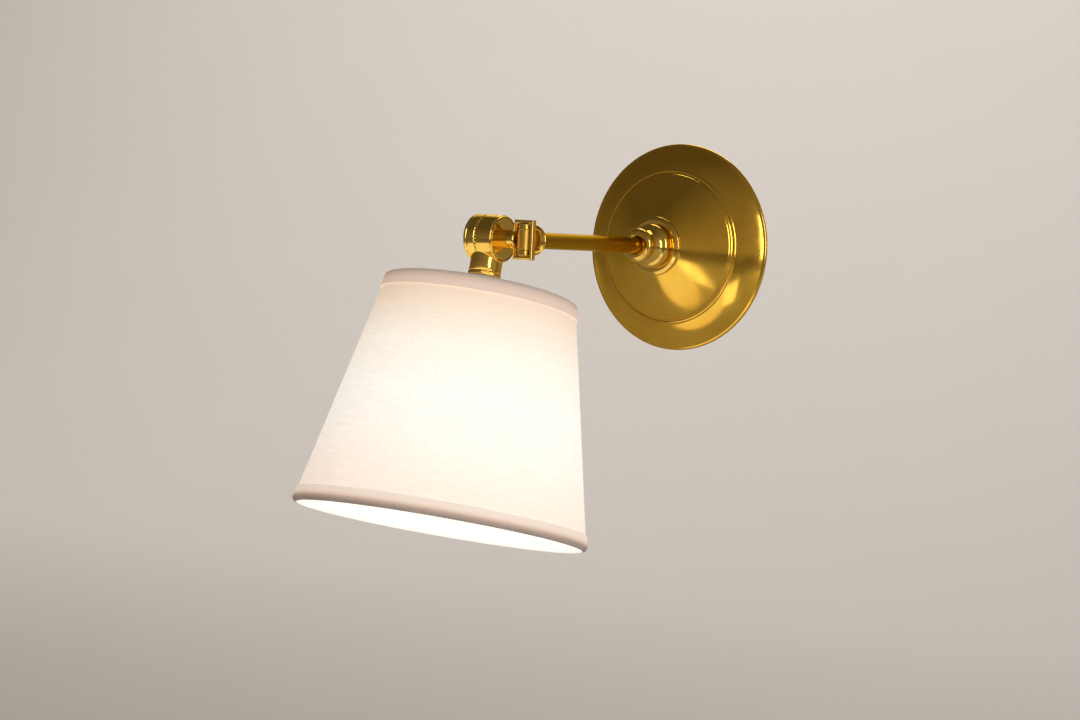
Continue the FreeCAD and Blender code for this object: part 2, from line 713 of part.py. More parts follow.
def swing_ring():
    """Flat rectangular ring round the barrel, drilled for the pins and for the leads."""
    body = new_body("swing_ring_blank", on_pins)
    sketch = new_sketch(body, "XZ_Plane")
    for width, height in ((S.ring_width / 2, S.ring_height / 2),
                          (S.ring_width / 2 - S.ring_bar, S.ring_height / 2 - S.ring_cap)):
        outline(sketch, [(width, -height), (width, height), (-width, height), (-width, -height)])
    pad = padded(body, sketch, S.ring_depth, middle=True)
    doc.recompute()
    edges = [f"Edge{number}" for number, edge in enumerate(pad.Shape.Edges, start=1)
             if edge.BoundBox.YLength < 0.001]
    fillet = body.newObject("PartDesign::Fillet", "swing_ring_edges")
    fillet.Base = (pad, edges)
    bind(fillet, "Radius", S.ring_round)
    body.Tip = fillet
    pins = rod("pin_holes", S.pin_radius, S.ring_height + 2 * OVER,
               (0, -S.arm_reach, -S.ring_height / 2 - OVER))
    leads = block("ring_lead_hole", (S.ring_bar + 2 * OVER, S.lead_bore, S.lead_bore * 2),
                  (-(S.ring_width - S.ring_bar) / 2, -S.arm_reach, 0))
    node("swing_ring", drilled("swing_ring", body, [pins, leads]))


def pivot_pins():
    """Two short pins, pressed in the ring, on which it swings round the barrel."""
    start = S.barrel_height / 2 - S.pin_entry
    length = S.ring_height / 2 - start
    for name, low in (("upper_pivot_pin", start), ("lower_pivot_pin", -S.ring_height / 2)):
        node(name, rod(name, S.pin_radius, length, (0, -S.arm_reach, low)))


def pivot_spacers():
    """Washers that fill the ring above and below the barrel."""
    thick = (S.ring_height - S.barrel_height) / 2 - S.ring_cap - 2 * S.face_gap
    start = S.barrel_height / 2 + S.face_gap
    for name, low in (("upper_spacer", start), ("lower_spacer", -start - thick)):
        turned(name, on_pins, washer_outline(S.pin_radius + S.run_gap, S.spacer_radius, low, thick))


def stem():
    """Turned stem: a thick end slotted over the bar of the ring, and an axle through the drum."""
    face = S.drum_reach - S.drum_length / 2
    end = face + S.axle_length
    blank = lathe("stem_blank", on_stem, [
        (S.lead_bore, S.stem_start), (S.stem_radius - S.stem_round, S.stem_start, S.stem_round, -1),
        (S.stem_radius, S.stem_start + S.stem_round), (S.stem_radius, face), (S.axle_radius, face),
        (S.axle_radius, end), (S.lead_bore, end),
    ])
    bar = S.ring_width / 2
    slot = block("stem_slot", (bar - S.stem_start + OVER, S.ring_depth, S.stem_radius * 2 + OVER),
                 (-(bar + S.stem_start - OVER) / 2, -S.arm_reach, 0))
    node("stem", drilled("stem", blank, [slot]))


def drum_cheek():
    """Polished disc on the stem that fills the mouth of the drum."""
    face = S.drum_reach - S.drum_length / 2
    outer = S.drum_radius - S.cheek_rim - S.cheek_gap
    turned("drum_cheek", on_stem, washer_outline(S.axle_radius + S.fit_gap, outer, face, S.cheek_thick))


def axle_stack():
    """Fibre washer, web of the drum, spring washer, plain washer and nut along the axle."""
    bore = S.axle_radius + S.run_gap
    start = S.drum_reach - S.drum_length / 2 + S.cheek_thick + S.fit_gap
    turned("friction_washer", on_stem,
           washer_outline(bore, S.friction_radius, start, S.friction_thick))
    web_end = start + S.friction_thick + S.fit_gap + S.web_thick
    dished = web_end + S.fit_gap
    top = dished + S.spring_thick
    inner = bore + S.fit_gap
    thick = S.spring_thick - S.spring_dish
    turned("spring_washer", on_stem, [
        (inner, top - thick), (S.spring_radius, dished), (S.spring_radius, dished + thick), (inner, top),
    ])
    plain = top + S.fit_gap
    turned("axle_washer", on_stem,
           washer_outline(inner, S.axle_washer_radius, plain, S.axle_washer_thick))
    nut = plain + S.axle_washer_thick + S.fit_gap
    hexagon("axle_nut", on_stem, S.axle_nut_across, S.axle_radius + S.fit_gap, nut, S.axle_nut_thick)


def stem_leads():
    """The leads through the stem and its axle, into the drum."""
    end = S.drum_reach - S.drum_length / 2 + S.axle_length + S.lead_tip
    start = S.lead_radius * 2
    leads = [rod(f"stem_lead_{index}", S.lead_radius, end - start,
                 (-start, -S.arm_reach, (S.lead_radius + S.fit_gap) * side), **ALONG_STEM)
             for index, side in enumerate((-1, 1))]
    node("stem_leads", group("stem_leads", leads))


# ---------------------------------------------------------------- what tilts

def drum_body():
    """Turned drum round the axle: a rim, a web, a wire space and a hole to the neck."""
    right = S.drum_length / 2
    mouth = right - S.cheek_thick - 2 * S.fit_gap - S.friction_thick
    web = mouth - S.web_thick
    left = -(S.drum_length / 2 - S.cap_lip)
    line = left + S.drum_line_offset
    rim = S.drum_radius - S.cheek_rim
    bore = S.axle_radius + S.run_gap
    blank = lathe("drum_blank", as_built, [
        (right, rim), (right, S.drum_radius - S.drum_chamfer), (right - S.drum_chamfer, S.drum_radius),
        (line + S.drum_line_depth, S.drum_radius), (line, S.drum_radius - S.drum_line_depth),
        (line - S.drum_line_depth, S.drum_radius), (left, S.drum_radius),
        (left, S.drum_radius - S.drum_wall), (web, S.drum_radius - S.drum_wall),
        (web, bore), (mouth, bore), (mouth, rim),
    ], axis="H_Axis")
    hole = rod("wire_hole", S.wire_hole_radius, S.drum_wall + 2 * OVER,
               (-S.wire_hole_offset, 0, S.drum_radius - S.drum_wall - OVER))
    node("drum_body", on_shade(drilled("drum_body", blank, [hole])))


def drum_end_cap():
    """Plug that closes the far end of the drum."""
    left = -(S.drum_length / 2 + S.cap_proud)
    lip = left + S.cap_proud + S.cap_lip - S.fit_gap
    turned("drum_end_cap", on_shade, [
        (left, 0), (left, S.drum_radius - S.cap_round, S.cap_round, 1),
        (left + S.cap_round, S.drum_radius), (lip, S.drum_radius),
        (lip, S.drum_radius - S.drum_wall - S.fit_gap),
        (lip + S.cap_spigot, S.drum_radius - S.drum_wall - S.fit_gap), (lip + S.cap_spigot, 0),
    ], axis="H_Axis")


def shade_neck():
    """Tube brazed under the drum, its end saddled to the drum."""
    tube = rod("neck_outer", S.neck_radius, S.neck_drop, (0, 0, 0))
    bore = rod("neck_inner", S.neck_radius - S.neck_wall, S.neck_drop + 2 * OVER, (0, 0, -OVER))
    saddle = rod("neck_saddle", S.drum_radius, S.drum_length + 2 * OVER, (-S.drum_length / 2 - OVER, 0, 0),
                 axis=(0, 1, 0), angle=90.0)
    node("shade_neck", on_shade(drilled("shade_neck", tube, [bore, saddle])))


def neck_ring():
    """Knurled ring that locks the lampholder to the neck."""
    turned("neck_ring", on_shade, washer_outline(S.neck_radius - S.neck_wall, S.neck_ring_radius,
                                                 S.neck_drop, S.neck_ring_length))


def holder_top():
    """Where the lampholder starts, below the neck ring."""
    return S.neck_drop + S.neck_ring_length


def holder_cap():
    """Upper shell of the lampholder, with its hollow spigot in the neck."""
    top = holder_top()
    spigot = S.neck_radius - S.neck_wall - S.fit_gap
    end = top + S.holder_cap_length
    wall = S.holder_wall
    turned("holder_cap", on_shade, [
        (S.holder_entry, top - S.holder_spigot), (spigot, top - S.holder_spigot), (spigot, top),
        (S.neck_radius, top), (S.holder_radius, top + S.holder_shoulder), (S.holder_radius, end),
        (S.holder_radius - wall, end), (S.holder_radius - wall, top + S.holder_shoulder + wall / 2),
        (S.neck_radius - wall / 2, top + wall), (S.holder_entry, top + wall),
    ])


def holder_body():
    """Threaded lower shell of the lampholder, which takes the shade rings."""
    start = holder_top() + S.holder_cap_length
    turned("holder_body", on_shade, washer_outline(S.holder_radius - S.holder_wall, S.holder_radius,
                                                   start, S.holder_body_length))


def holder_core():
    """Ceramic disc that fills the lampholder and carries the contacts."""
    start = holder_top() + S.core_drop
    radius = S.holder_radius - S.holder_wall - S.fit_gap
    turned("holder_core", on_shade, [(0, start), (radius, start), (radius, start + S.core_thick),
                                     (0, start + S.core_thick)])


def holder_contacts():
    """Brass strip on the core that meets the tip of the bulb."""
    start = holder_top() + S.core_drop + S.core_thick
    strip = block("centre_contact_strip", (S.socket_radius, S.contact_width, S.contact_thick),
                  (0, 0, start + S.contact_thick / 2))
    node("centre_contact", on_shade(joined_solid("centre_contact", [strip, rod(
        "contact_dimple", S.contact_width / 3, S.contact_thick, (0, 0, start + S.contact_thick))])))
    turned("socket_shell", on_shade, washer_outline(S.socket_radius - S.socket_wall, S.socket_radius,
                                                    start, S.socket_length))


def shade_rings():
    """Two threaded rings that clamp the shade carrier on the lampholder."""
    bore = S.holder_radius + S.fit_gap
    lower = S.shade_ring_drop + S.shade_ring_thick + S.gimbal_thick + 2 * S.fit_gap
    for name, start in (("upper_shade_ring", S.shade_ring_drop), ("lower_shade_ring", lower)):
        turned(name, on_shade, washer_outline(bore, S.shade_ring_radius, start, S.shade_ring_thick))


def neck_leads():
    """The leads from the drum down the neck to the core of the lampholder."""
    end = holder_top() + S.core_drop - S.face_gap
    start = S.drum_radius - S.drum_wall - S.lead_slack
    leads = [rod(f"neck_lead_{index}", S.lead_radius, end - start,
                 (-S.wire_hole_offset + (S.lead_radius + S.fit_gap) * side, 0, start))
             for index, side in enumerate((-1, 1))]
    node("neck_leads", on_shade(group("neck_leads", leads)))


# ---------------------------------------------------------------- the shade

def shade_slope():
    """How much the radius grows along the axis of the shade."""
    return (S.shade_bottom_radius - S.shade_top_radius) / S.shade_height


def trim_channel():
    """Room in the folded binding for the panel and the wire ring."""
    return S.panel_thick + 2 * S.wire_radius + 4 * S.binding_gap


def trim_corners(edge_radius, edge, way):
    """Section of a binding folded over an edge: way is 1 below the top edge, -1 above the bottom."""
    slope = shade_slope() * way
    thick, deep, short = S.trim_thick, S.trim_depth, S.trim_inner_depth
    inner = edge_radius - thick - trim_channel()
    return [
        (edge_radius, edge), (edge_radius + slope * deep, edge + deep * way),
        (edge_radius + slope * deep - thick, edge + deep * way),
        (edge_radius + slope * thick - thick, edge + thick * way),
        (inner + slope * thick, edge + thick * way), (inner + slope * short, edge + short * way),
        (inner + slope * short - thick, edge + short * way), (inner - thick, edge),
    ]


def shade_trims():
    """Fabric bindings folded over the top and bottom rings."""
    bottom = S.shade_drop + S.shade_height
    turned("top_trim", on_shade, trim_corners(S.shade_top_radius, S.shade_drop, 1))
    turned("bottom_trim", on_shade, trim_corners(S.shade_bottom_radius, bottom, -1))


def fabric_panel():
    """The fabric cone on its stiff lining, held in both bindings."""
    inset = S.trim_thick + S.binding_gap
    top = S.shade_drop + inset
    bottom = S.shade_drop + S.shade_height - inset
    upper = S.shade_top_radius + shade_slope() * inset - inset
    lower = S.shade_bottom_radius - shade_slope() * inset - inset
    turned("fabric_panel", on_shade, [
        (upper, top), (lower, bottom), (lower - S.panel_thick, bottom), (upper - S.panel_thick, top),
    ])


def wire_ring_place(edge_radius, edge, way):
    """Centre of a wire ring inside its binding: radius and distance down the axis."""
    offset = S.trim_thick + 2 * S.binding_gap + S.wire_radius
    radius = edge_radius - S.trim_thick - S.panel_thick - 2.5 * S.binding_gap - S.wire_radius
    return radius + shade_slope() * offset * way, edge + offset * way


def wire_rings():
    """Round steel wire rings that hold the edges of the shade."""
    bottom = S.shade_drop + S.shade_height
    for name, edge_radius, edge, way in (("top_wire_ring", S.shade_top_radius, S.shade_drop, 1),
                                         ("bottom_wire_ring", S.shade_bottom_radius, bottom, -1)):
        body = node(name, new_body(name, on_shade))
        sketch = new_sketch(body, "XZ_Plane")
        circle(sketch, wire_ring_place(edge_radius, edge, way), S.wire_radius)
        revolve(body, sketch, "V_Axis")


def shade_carrier():
    """Flat ring on the lampholder with wires that rise to the top ring."""
    start = S.shade_ring_drop + S.shade_ring_thick + S.fit_gap
    hub = rod("gimbal", S.gimbal_radius, S.gimbal_thick, (0, 0, start))
    bore = rod("gimbal_bore", S.holder_radius + S.fit_gap, S.gimbal_thick + 2 * OVER, (0, 0, start - OVER))
    ring = drilled("gimbal_ring", hub, [bore])
    radius, drop = wire_ring_place(S.shade_top_radius, S.shade_drop, 1)
    outer = radius - S.wire_radius - S.trim_thick - S.turn_gap - S.carrier_wire / 2
    low = start + S.gimbal_thick / 2
    doc.recompute()
    wires = []
    count = int(S.carrier_arms.value)
    near = S.gimbal_radius.value - S.carrier_wire.value
    for index in range(count):
        wire = doc.addObject("Part::Cylinder", f"carrier_wire_{index}")
        bind(wire, "Radius", S.carrier_wire)
        rise = Vector(outer.value - near, 0, drop.value - low.value)
        turn = Rotation(Vector(0, 0, 1), 360.0 / count * index + 90.0)
        bind(wire, "Height", Dim(rise.Length, repr(rise.Length)))
        wire.Placement = Placement(turn.multVec(Vector(near, 0, low.value)),
                                   turn * Rotation(Vector(0, 0, 1), rise))
        wires.append(wire)
    node("shade_carrier", on_shade(joined_solid("shade_carrier", [ring] + wires)))


# ---------------------------------------------------------------- the bulb

def bulb():
    """Small screw-cap filament bulb: cap, hollow glass, glass mount and filament sticks."""
    tip = holder_top() + S.core_drop + S.core_thick + 2 * S.contact_thick + S.face_gap
    end = tip + S.cap_length
    turned("bulb_cap", on_shade, [
        (0, tip), (S.contact_width / 2, tip), (S.cap_radius, tip + S.cap_shoulder), (S.cap_radius, end),
        (S.cap_radius - S.cap_wall, end), (S.cap_radius - S.cap_wall, tip + S.cap_floor),
        (0, tip + S.cap_floor),
    ])
    foot = end + S.fit_gap
    ball = foot + S.glass_length - S.glass_radius
    inner = S.glass_radius - S.glass_wall
    turned("bulb_glass", on_shade, [
        (S.glass_neck, foot), (S.glass_radius * FLARE_ACROSS, ball - S.glass_radius * FLARE_UP,
                               S.glass_radius, -1),
        (0, ball + S.glass_radius), (0, ball + inner, inner, 1),
        (inner * FLARE_ACROSS, ball - inner * FLARE_UP), (S.glass_neck - S.glass_wall, foot),
    ])
    seat = S.cap_radius - S.cap_wall - S.fit_gap
    top = foot + S.mount_length
    crown = S.filament_circle + S.filament_radius
    turned("bulb_mount", on_shade, [
        (0, foot - S.mount_sink), (seat, foot - S.mount_sink),
        (seat, foot - S.mount_sink + S.mount_seat), (S.mount_radius, foot - S.mount_sink + S.mount_seat),
        (S.mount_radius, top - S.glass_wall), (crown, top - S.glass_wall), (crown, top), (0, top),
    ])
    low = top + S.fit_gap
    sticks = []
    for index in range(int(S.filament_count.value)):
        angle = 2 * math.pi * (index + 0.5) / S.filament_count.value
        place = (S.filament_circle * math.cos(angle), S.filament_circle * math.sin(angle), low)
        sticks.append(rod(f"filament_{index}", S.filament_radius, S.filament_length, place))
    node("filament_sticks", on_shade(group("filament_sticks", sticks)))


makers = [
    wall_bracket, backplate, base_flange, arm_boss, arm_tube, arm_nuts, terminal_block, earth_terminal,
    arm_leads, domed_collar, arm_knuckle, swing_ring, pivot_pins, pivot_spacers, stem, drum_cheek,
    axle_stack, stem_leads, drum_body, drum_end_cap, shade_neck, neck_ring, holder_cap, holder_body,
    holder_core, holder_contacts, shade_rings, neck_leads, shade_trims, fabric_panel, wire_rings,
    shade_carrier, bulb,
]
for make in makers:
    make()
doc.recompute()

failed = [thing.Name for thing in doc.Objects if {"Invalid", "Error"} & set(thing.State)]
bad = [label for label, thing in nodes.items() if thing.Shape.isNull() or not thing.Shape.isValid()]
if failed or bad:
    raise SystemExit(f"failed: {failed}, not valid: {bad}")
os.makedirs("parts", exist_ok=True)
for label, thing in nodes.items():
    thing.Shape.exportStep(f"parts/{label}.step")
    box = thing.Shape.BoundBox
    print(f"{label:20s} solids {len(thing.Shape.Solids)} volume {thing.Shape.Volume:9.1f} "
          f"middle {box.Center.x:8.2f} {box.Center.y:8.2f} {box.Center.z:8.2f}")
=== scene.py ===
import math

import bmesh
import bpy
import numpy as np
from mathutils import Matrix, Vector


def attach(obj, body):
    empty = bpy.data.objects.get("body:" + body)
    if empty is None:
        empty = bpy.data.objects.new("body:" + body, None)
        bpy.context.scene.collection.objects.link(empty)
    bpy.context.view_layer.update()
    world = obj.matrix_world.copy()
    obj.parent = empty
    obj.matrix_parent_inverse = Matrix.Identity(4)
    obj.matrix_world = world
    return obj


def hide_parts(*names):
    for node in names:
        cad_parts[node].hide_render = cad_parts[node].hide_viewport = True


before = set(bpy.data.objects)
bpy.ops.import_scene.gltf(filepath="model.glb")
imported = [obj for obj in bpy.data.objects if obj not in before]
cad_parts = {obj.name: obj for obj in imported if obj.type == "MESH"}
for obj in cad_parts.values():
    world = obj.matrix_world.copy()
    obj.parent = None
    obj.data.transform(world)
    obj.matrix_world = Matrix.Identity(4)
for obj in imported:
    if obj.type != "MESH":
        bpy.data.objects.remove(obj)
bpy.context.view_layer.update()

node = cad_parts

# ---------------------------------------------------------------- wall bracket
# A strap of zinc plated steel, bent into two feet and a raised bridge, screwed to the wall through
# slotted holes. The tail of the arm, the terminal block and the earth screw sit on its bridge.


class Signal:
    """One value in a material. Arithmetic on it adds Math nodes; a number goes on its right."""

    def __init__(self, tree, socket):
        self.tree = tree
        self.socket = socket

    def maths(self, operation, *terms):
        step = self.tree.nodes.new("ShaderNodeMath")
        step.operation = operation
        for slot, term in zip(step.inputs, terms):
            if isinstance(term, Signal):
                self.tree.links.new(term.socket, slot)
            else:
                slot.default_value = term
        return Signal(self.tree, step.outputs[0])

    def __add__(self, other):
        return self.maths("ADD", self, other)

    def __sub__(self, other):
        return self.maths("SUBTRACT", self, other)

    def __mul__(self, other):
        return self.maths("MULTIPLY", self, other)

    def __truediv__(self, other):
        return self.maths("DIVIDE", self, other)

    def root(self):
        return self.maths("SQRT", self)

    def above(self, edge, soft):
        """0 below the edge and 1 above it, over a soft width."""
        ramp = self.maths("MULTIPLY_ADD", self, 1.0 / soft, 0.5 - edge / soft)
        clamp = self.tree.nodes.new("ShaderNodeClamp")
        self.tree.links.new(ramp.socket, clamp.inputs["Value"])
        return Signal(self.tree, clamp.outputs[0])


class Finish:
    """A material of the light, made of nodes round one Principled shader."""

    def __init__(self, name, **plain):
        self.material = bpy.data.materials.new(name)
        self.material.use_nodes = True
        self.tree = self.material.node_tree
        self.tree.nodes.clear()
        self.skin = self.add("ShaderNodeBsdfPrincipled", {}, {})
        self.end = self.add("ShaderNodeOutputMaterial", {}, {"Surface": self.skin.outputs[0]})
        for socket, value in plain.items():
            self.skin.inputs[socket.replace("_", " ")].default_value = value

    def add(self, kind, settings, feeds):
        """A node of this kind: first its settings, then the values or links of its sockets."""
        made = self.tree.nodes.new(kind)
        for setting, value in settings.items():
            if setting == "stops":
                ramp = made.color_ramp
                while len(ramp.elements) < len(value):
                    ramp.elements.new(1.0)
                for stop, (place, colour) in zip(ramp.elements, value):
                    stop.position = place
                    stop.color = (*colour, 1.0)
            else:
                setattr(made, setting, value)
        for socket, feed in feeds.items():
            slot = made.inputs[socket]
            if isinstance(feed, Signal):
                self.tree.links.new(feed.socket, slot)
            elif isinstance(feed, bpy.types.NodeSocket):
                self.tree.links.new(feed, slot)
            else:
                slot.default_value = feed
        return made

    def value(self, kind, settings, feeds, output=0):
        return Signal(self.tree, self.add(kind, settings, feeds).outputs[output])

    def place(self):
        """Object coordinates, in metres from the middle of the backplate."""
        return self.add("ShaderNodeTexCoord", {}, {}).outputs["Object"]

    def about(self, origin, axis):
        """Distance along an axis and distance from it, for marks left by turning."""
        relative = self.add("ShaderNodeVectorMath", {"operation": "SUBTRACT"},
                            {0: self.place(), 1: tuple(origin)}).outputs[0]
        along = self.value("ShaderNodeVectorMath", {"operation": "DOT_PRODUCT"},
                           {0: relative, 1: tuple(axis)}, "Value")
        length = self.value("ShaderNodeVectorMath", {"operation": "LENGTH"}, {0: relative}, "Value")
        across = (length * length - along * along + 1e-9).root()
        return along, across

    def noise(self, scale, detail=4.0, rough=0.6, at=None):
        """Fractal noise from 0 to 1, with so many cells to the metre."""
        where = self.place() if at is None else at
        return self.value("ShaderNodeTexNoise", {}, {
            "Vector": where, "Scale": scale, "Detail": detail, "Roughness": rough})

    def mix(self, factor, first, second):
        """A colour between two colours."""
        made = self.add("ShaderNodeMix", {"data_type": "RGBA"}, {0: factor, 6: first, 7: second})
        return made.outputs[2]

    def feed(self, **sockets):
        for socket, source in sockets.items():
            source = source.socket if isinstance(source, Signal) else source
            self.tree.links.new(source, self.skin.inputs[socket.replace("_", " ")])
        return self

    def relief(self, height, depth):
        """Raises the surface by up to this depth, in metres, where the height is 1."""
        bump = self.add("ShaderNodeBump", {}, {"Strength": 1.0, "Distance": depth, "Height": height})
        self.tree.links.new(bump.outputs[0], self.skin.inputs["Normal"])
        return self


def clothe(piece, finish):
    """Gives a piece one finish."""
    piece.data.materials.clear()
    piece.data.materials.append(finish.material)
    return piece


zinc = Finish("zinc_plated_steel", Metallic=1.0)
zinc_spangle = zinc.noise(260.0, 3.0, 0.5)
zinc_grain = zinc.noise(2400.0, 2.0, 0.6)
zinc.feed(Base_Color=zinc.mix(zinc_spangle, (0.42, 0.43, 0.44, 1), (0.66, 0.66, 0.64, 1)),
          Roughness=zinc_spangle * 0.22 + 0.26)
zinc.relief(zinc_grain, 0.00004)
for name in ("wall_bracket", "inner_arm_nut", "outer_arm_nut", "earth_screw", "boss_grub_screw"):
    clothe(node[name], zinc)

# ---------------------------------------------------------------- terminals and leads
# A moulded two-way block on the bridge with brass screws, an earth tag under its screw, and two
# leads in pale insulation that run through the arm, the stem and the drum to the lampholder.
moulding = Finish("moulded_block", Roughness=0.42)
moulding_cloud = moulding.noise(700.0, 3.0, 0.5)
moulding.feed(
    Base_Color=moulding.mix(moulding_cloud, (0.70, 0.69, 0.65, 1), (0.78, 0.77, 0.73, 1)))
moulding.relief(moulding.noise(5200.0, 2.0, 0.5), 0.00002)
clothe(node["terminal_block"], moulding)

insulation = Finish("lead_insulation", Roughness=0.38)
insulation_cloud = insulation.noise(900.0, 2.0, 0.5)
insulation.feed(
    Base_Color=insulation.mix(insulation_cloud, (0.62, 0.60, 0.54, 1), (0.74, 0.72, 0.66, 1)))
insulation.relief(insulation.noise(3600.0, 2.0, 0.5), 0.00001)
for name in ("arm_leads", "stem_leads", "neck_leads"):
    clothe(node[name], insulation)

bare_brass = Finish("machined_brass", Metallic=1.0)
bare_tone = bare_brass.noise(180.0, 4.0, 0.6)
bare_brass.feed(Base_Color=bare_brass.mix(bare_tone, (0.52, 0.33, 0.10, 1), (0.72, 0.49, 0.17, 1)),
                Roughness=bare_tone * 0.20 + 0.24)
bare_brass.relief(bare_brass.noise(3000.0, 2.0, 0.5), 0.00003)
for name in ("terminal_screws", "earth_tag", "axle_washer"):
    clothe(node[name], bare_brass)

# ---------------------------------------------------------------- spun backplate
# Sheet brass spun on a lathe into a rolled rim, a swelling band, a low step and a shallow dome, then
# polished. It hides the bracket and is held by the boss. The hollow side faces the wall.


def arc(start, end, radius, side, steps):
    """Points from start to just before end on a circle of this radius. The curve swells to the left
    of the way (side 1) or to its right (side -1): centre = middle of the chord, moved square to it."""
    start, end = np.array(start, float), np.array(end, float)
    chord = end - start
    half = np.hypot(*chord) / 2
    square = np.array([-chord[1], chord[0]]) / (2 * half) * side
    centre = (start + end) / 2 - square * math.sqrt(max(0.0, radius * radius - half * half))
    first, last = (math.atan2(*(point - centre)[::-1]) for point in (start, end))
    sweep = (last - first + math.pi) % (2 * math.pi) - math.pi
    if sweep * side > 0:
        sweep -= math.copysign(2 * math.pi, sweep)
    angle = first + sweep * np.arange(steps) / steps
    return centre + radius * np.stack([np.cos(angle), np.sin(angle)], 1)


def rounded(corners, steps=5):
    """A closed outline from corners (across, up, radius). A corner with a radius becomes an arc that
    touches both of its sides; each straight side keeps a point near its ends, so it stays flat."""
    points = np.array([corner[:2] for corner in corners], float)
    radii = np.array([corner[2] if len(corner) > 2 else 0.0 for corner in corners])
    outline = []
    for index, point in enumerate(points):
        before = points[index - 1] - point
        after = points[(index + 1) % len(points)] - point
        before, after = before / np.hypot(*before), after / np.hypot(*after)
        cosine = float(np.clip(before @ after, -1, 1))
        radius = radii[index]
        if radius == 0 or cosine < -0.9999:
            outline.append(point[None])
            continue
        reach = radius / math.tan(math.acos(cosine) / 2)
        bisector = (before + after) / np.hypot(*(before + after))
        centre = point + bisector * radius / math.sin(math.acos(cosine) / 2)
        spokes = [point + before * reach - centre, point + after * reach - centre]
        first, last = (math.atan2(spoke[1], spoke[0]) for spoke in spokes)
        sweep = (last - first + math.pi) % (2 * math.pi) - math.pi
        angle = first + sweep * np.linspace(0, 1, steps + 1)
        bend = centre + radius * np.stack([np.cos(angle), np.sin(angle)], 1)
        hold = radius * 0.12
        outline.append(np.vstack([bend[0] + before * hold, bend, bend[-1] + after * hold]))
    return np.vstack(outline)


MM = 0.001
WALL = (Vector((0, 0, 0)), Vector((1, 0, 0)), Vector((0, 0, 1)), Vector((0, -1, 0)))


def surface(name, points, wrap=(True, True), crisp=35.0):
    """A mesh from a grid of points (rows, columns, 3), in metres. A wrapped way joins its last line to
    its first. Points at one place become one, and the faces of a closed mesh are turned outwards."""
    rows, columns = points.shape[:2]
    corner = np.arange(rows * columns).reshape(rows, columns)
    down = np.roll(corner, -1, 0) if wrap[0] else corner[1:]
    here = corner if wrap[0] else corner[:-1]
    if wrap[1]:
        quads = np.stack([here, np.roll(here, -1, 1), np.roll(down, -1, 1), down], -1)
    else:
        quads = np.stack([here[:, :-1], here[:, 1:], down[:, 1:], down[:, :-1]], -1)
    mesh = bpy.data.meshes.new(name)
    mesh.from_pydata(points.reshape(-1, 3).tolist(), [], quads.reshape(-1, 4).tolist())
    tidy = bmesh.new()
    tidy.from_mesh(mesh)
    bmesh.ops.remove_doubles(tidy, verts=tidy.verts, dist=1e-6)
    bmesh.ops.dissolve_degenerate(tidy, edges=tidy.edges, dist=1e-7)
    loose = [edge for edge in tidy.edges if edge.is_boundary]
    if not loose:
        bmesh.ops.recalc_face_normals(tidy, faces=tidy.faces)
        if tidy.calc_volume(signed=True) < 0:
            bmesh.ops.reverse_faces(tidy, faces=tidy.faces)
    tidy.to_mesh(mesh)
    tidy.free()
    mesh.shade_smooth()
    mesh.set_sharp_from_angle(angle=math.radians(crisp))
    piece = bpy.data.objects.new(name, mesh)
    bpy.context.scene.collection.objects.link(piece)
    return piece


def revolved(name, axes, outline, sides=160, poles=False, crisp=35.0, swell=None):
    """A turned piece. The outline is (radius, height) in millimetres; the point at angle u and outline
    place v is origin + axis * height(v) + radius(v) * (first cos u + second sin u). With poles the
    outline starts and ends on the axis, and swell(u, radius, height) may change the radius."""
    origin, first, second, axis = (np.array(part) for part in axes)
    turn = np.linspace(0, 2 * math.pi, sides, endpoint=False)[None, :]
    radius, height = outline[:, 0][:, None], outline[:, 1][:, None]
    if swell is not None:
        radius = swell(turn, radius, height)
    spoke = np.cos(turn)[..., None] * first + np.sin(turn)[..., None] * second
    points = origin + MM * (height[..., None] * axis + (radius + 0 * turn)[..., None] * spoke)
    return surface(name, points, (not poles, True), crisp)


def polished_brass(name, origin, axis, bright=(0.88, 0.60, 0.14), deep=(0.76, 0.47, 0.08), haze=0.0):
    """Polished brass with fine turning lines about an axis, cloudy tarnish, handling marks and small
    dark spots. Lines: noise of (distance along, distance from the axis), 2.8 micrometres high."""
    brass = Finish(name, Metallic=1.0, Specular_Tint=(1.0, 0.84, 0.46, 1.0))
    along, across = brass.about(origin, axis)
    ways = brass.add("ShaderNodeCombineXYZ", {}, {"X": along, "Y": across}).outputs[0]
    lines = brass.noise(2600.0, 2.0, 0.7, ways)
    tarnish = brass.noise(34.0, 5.0, 0.6).above(0.52, 0.5)
    smudge = brass.noise(150.0, 6.0, 0.7).above(0.56, 0.22)
    spots = brass.noise(620.0, 3.0, 0.5).above(0.74, 0.06)
    tone = brass.mix(tarnish, (*bright, 1), (*deep, 1))
    stain = (deep[0] * 0.45, deep[1] * 0.4, deep[2] * 0.4, 1)
    brass.feed(Base_Color=brass.mix(spots * 0.5, tone, stain),
               Roughness=lines * 0.05 + smudge * 0.07 + tarnish * 0.03 + (0.06 + haze))
    brass.relief(lines, 0.0000028)
    return brass


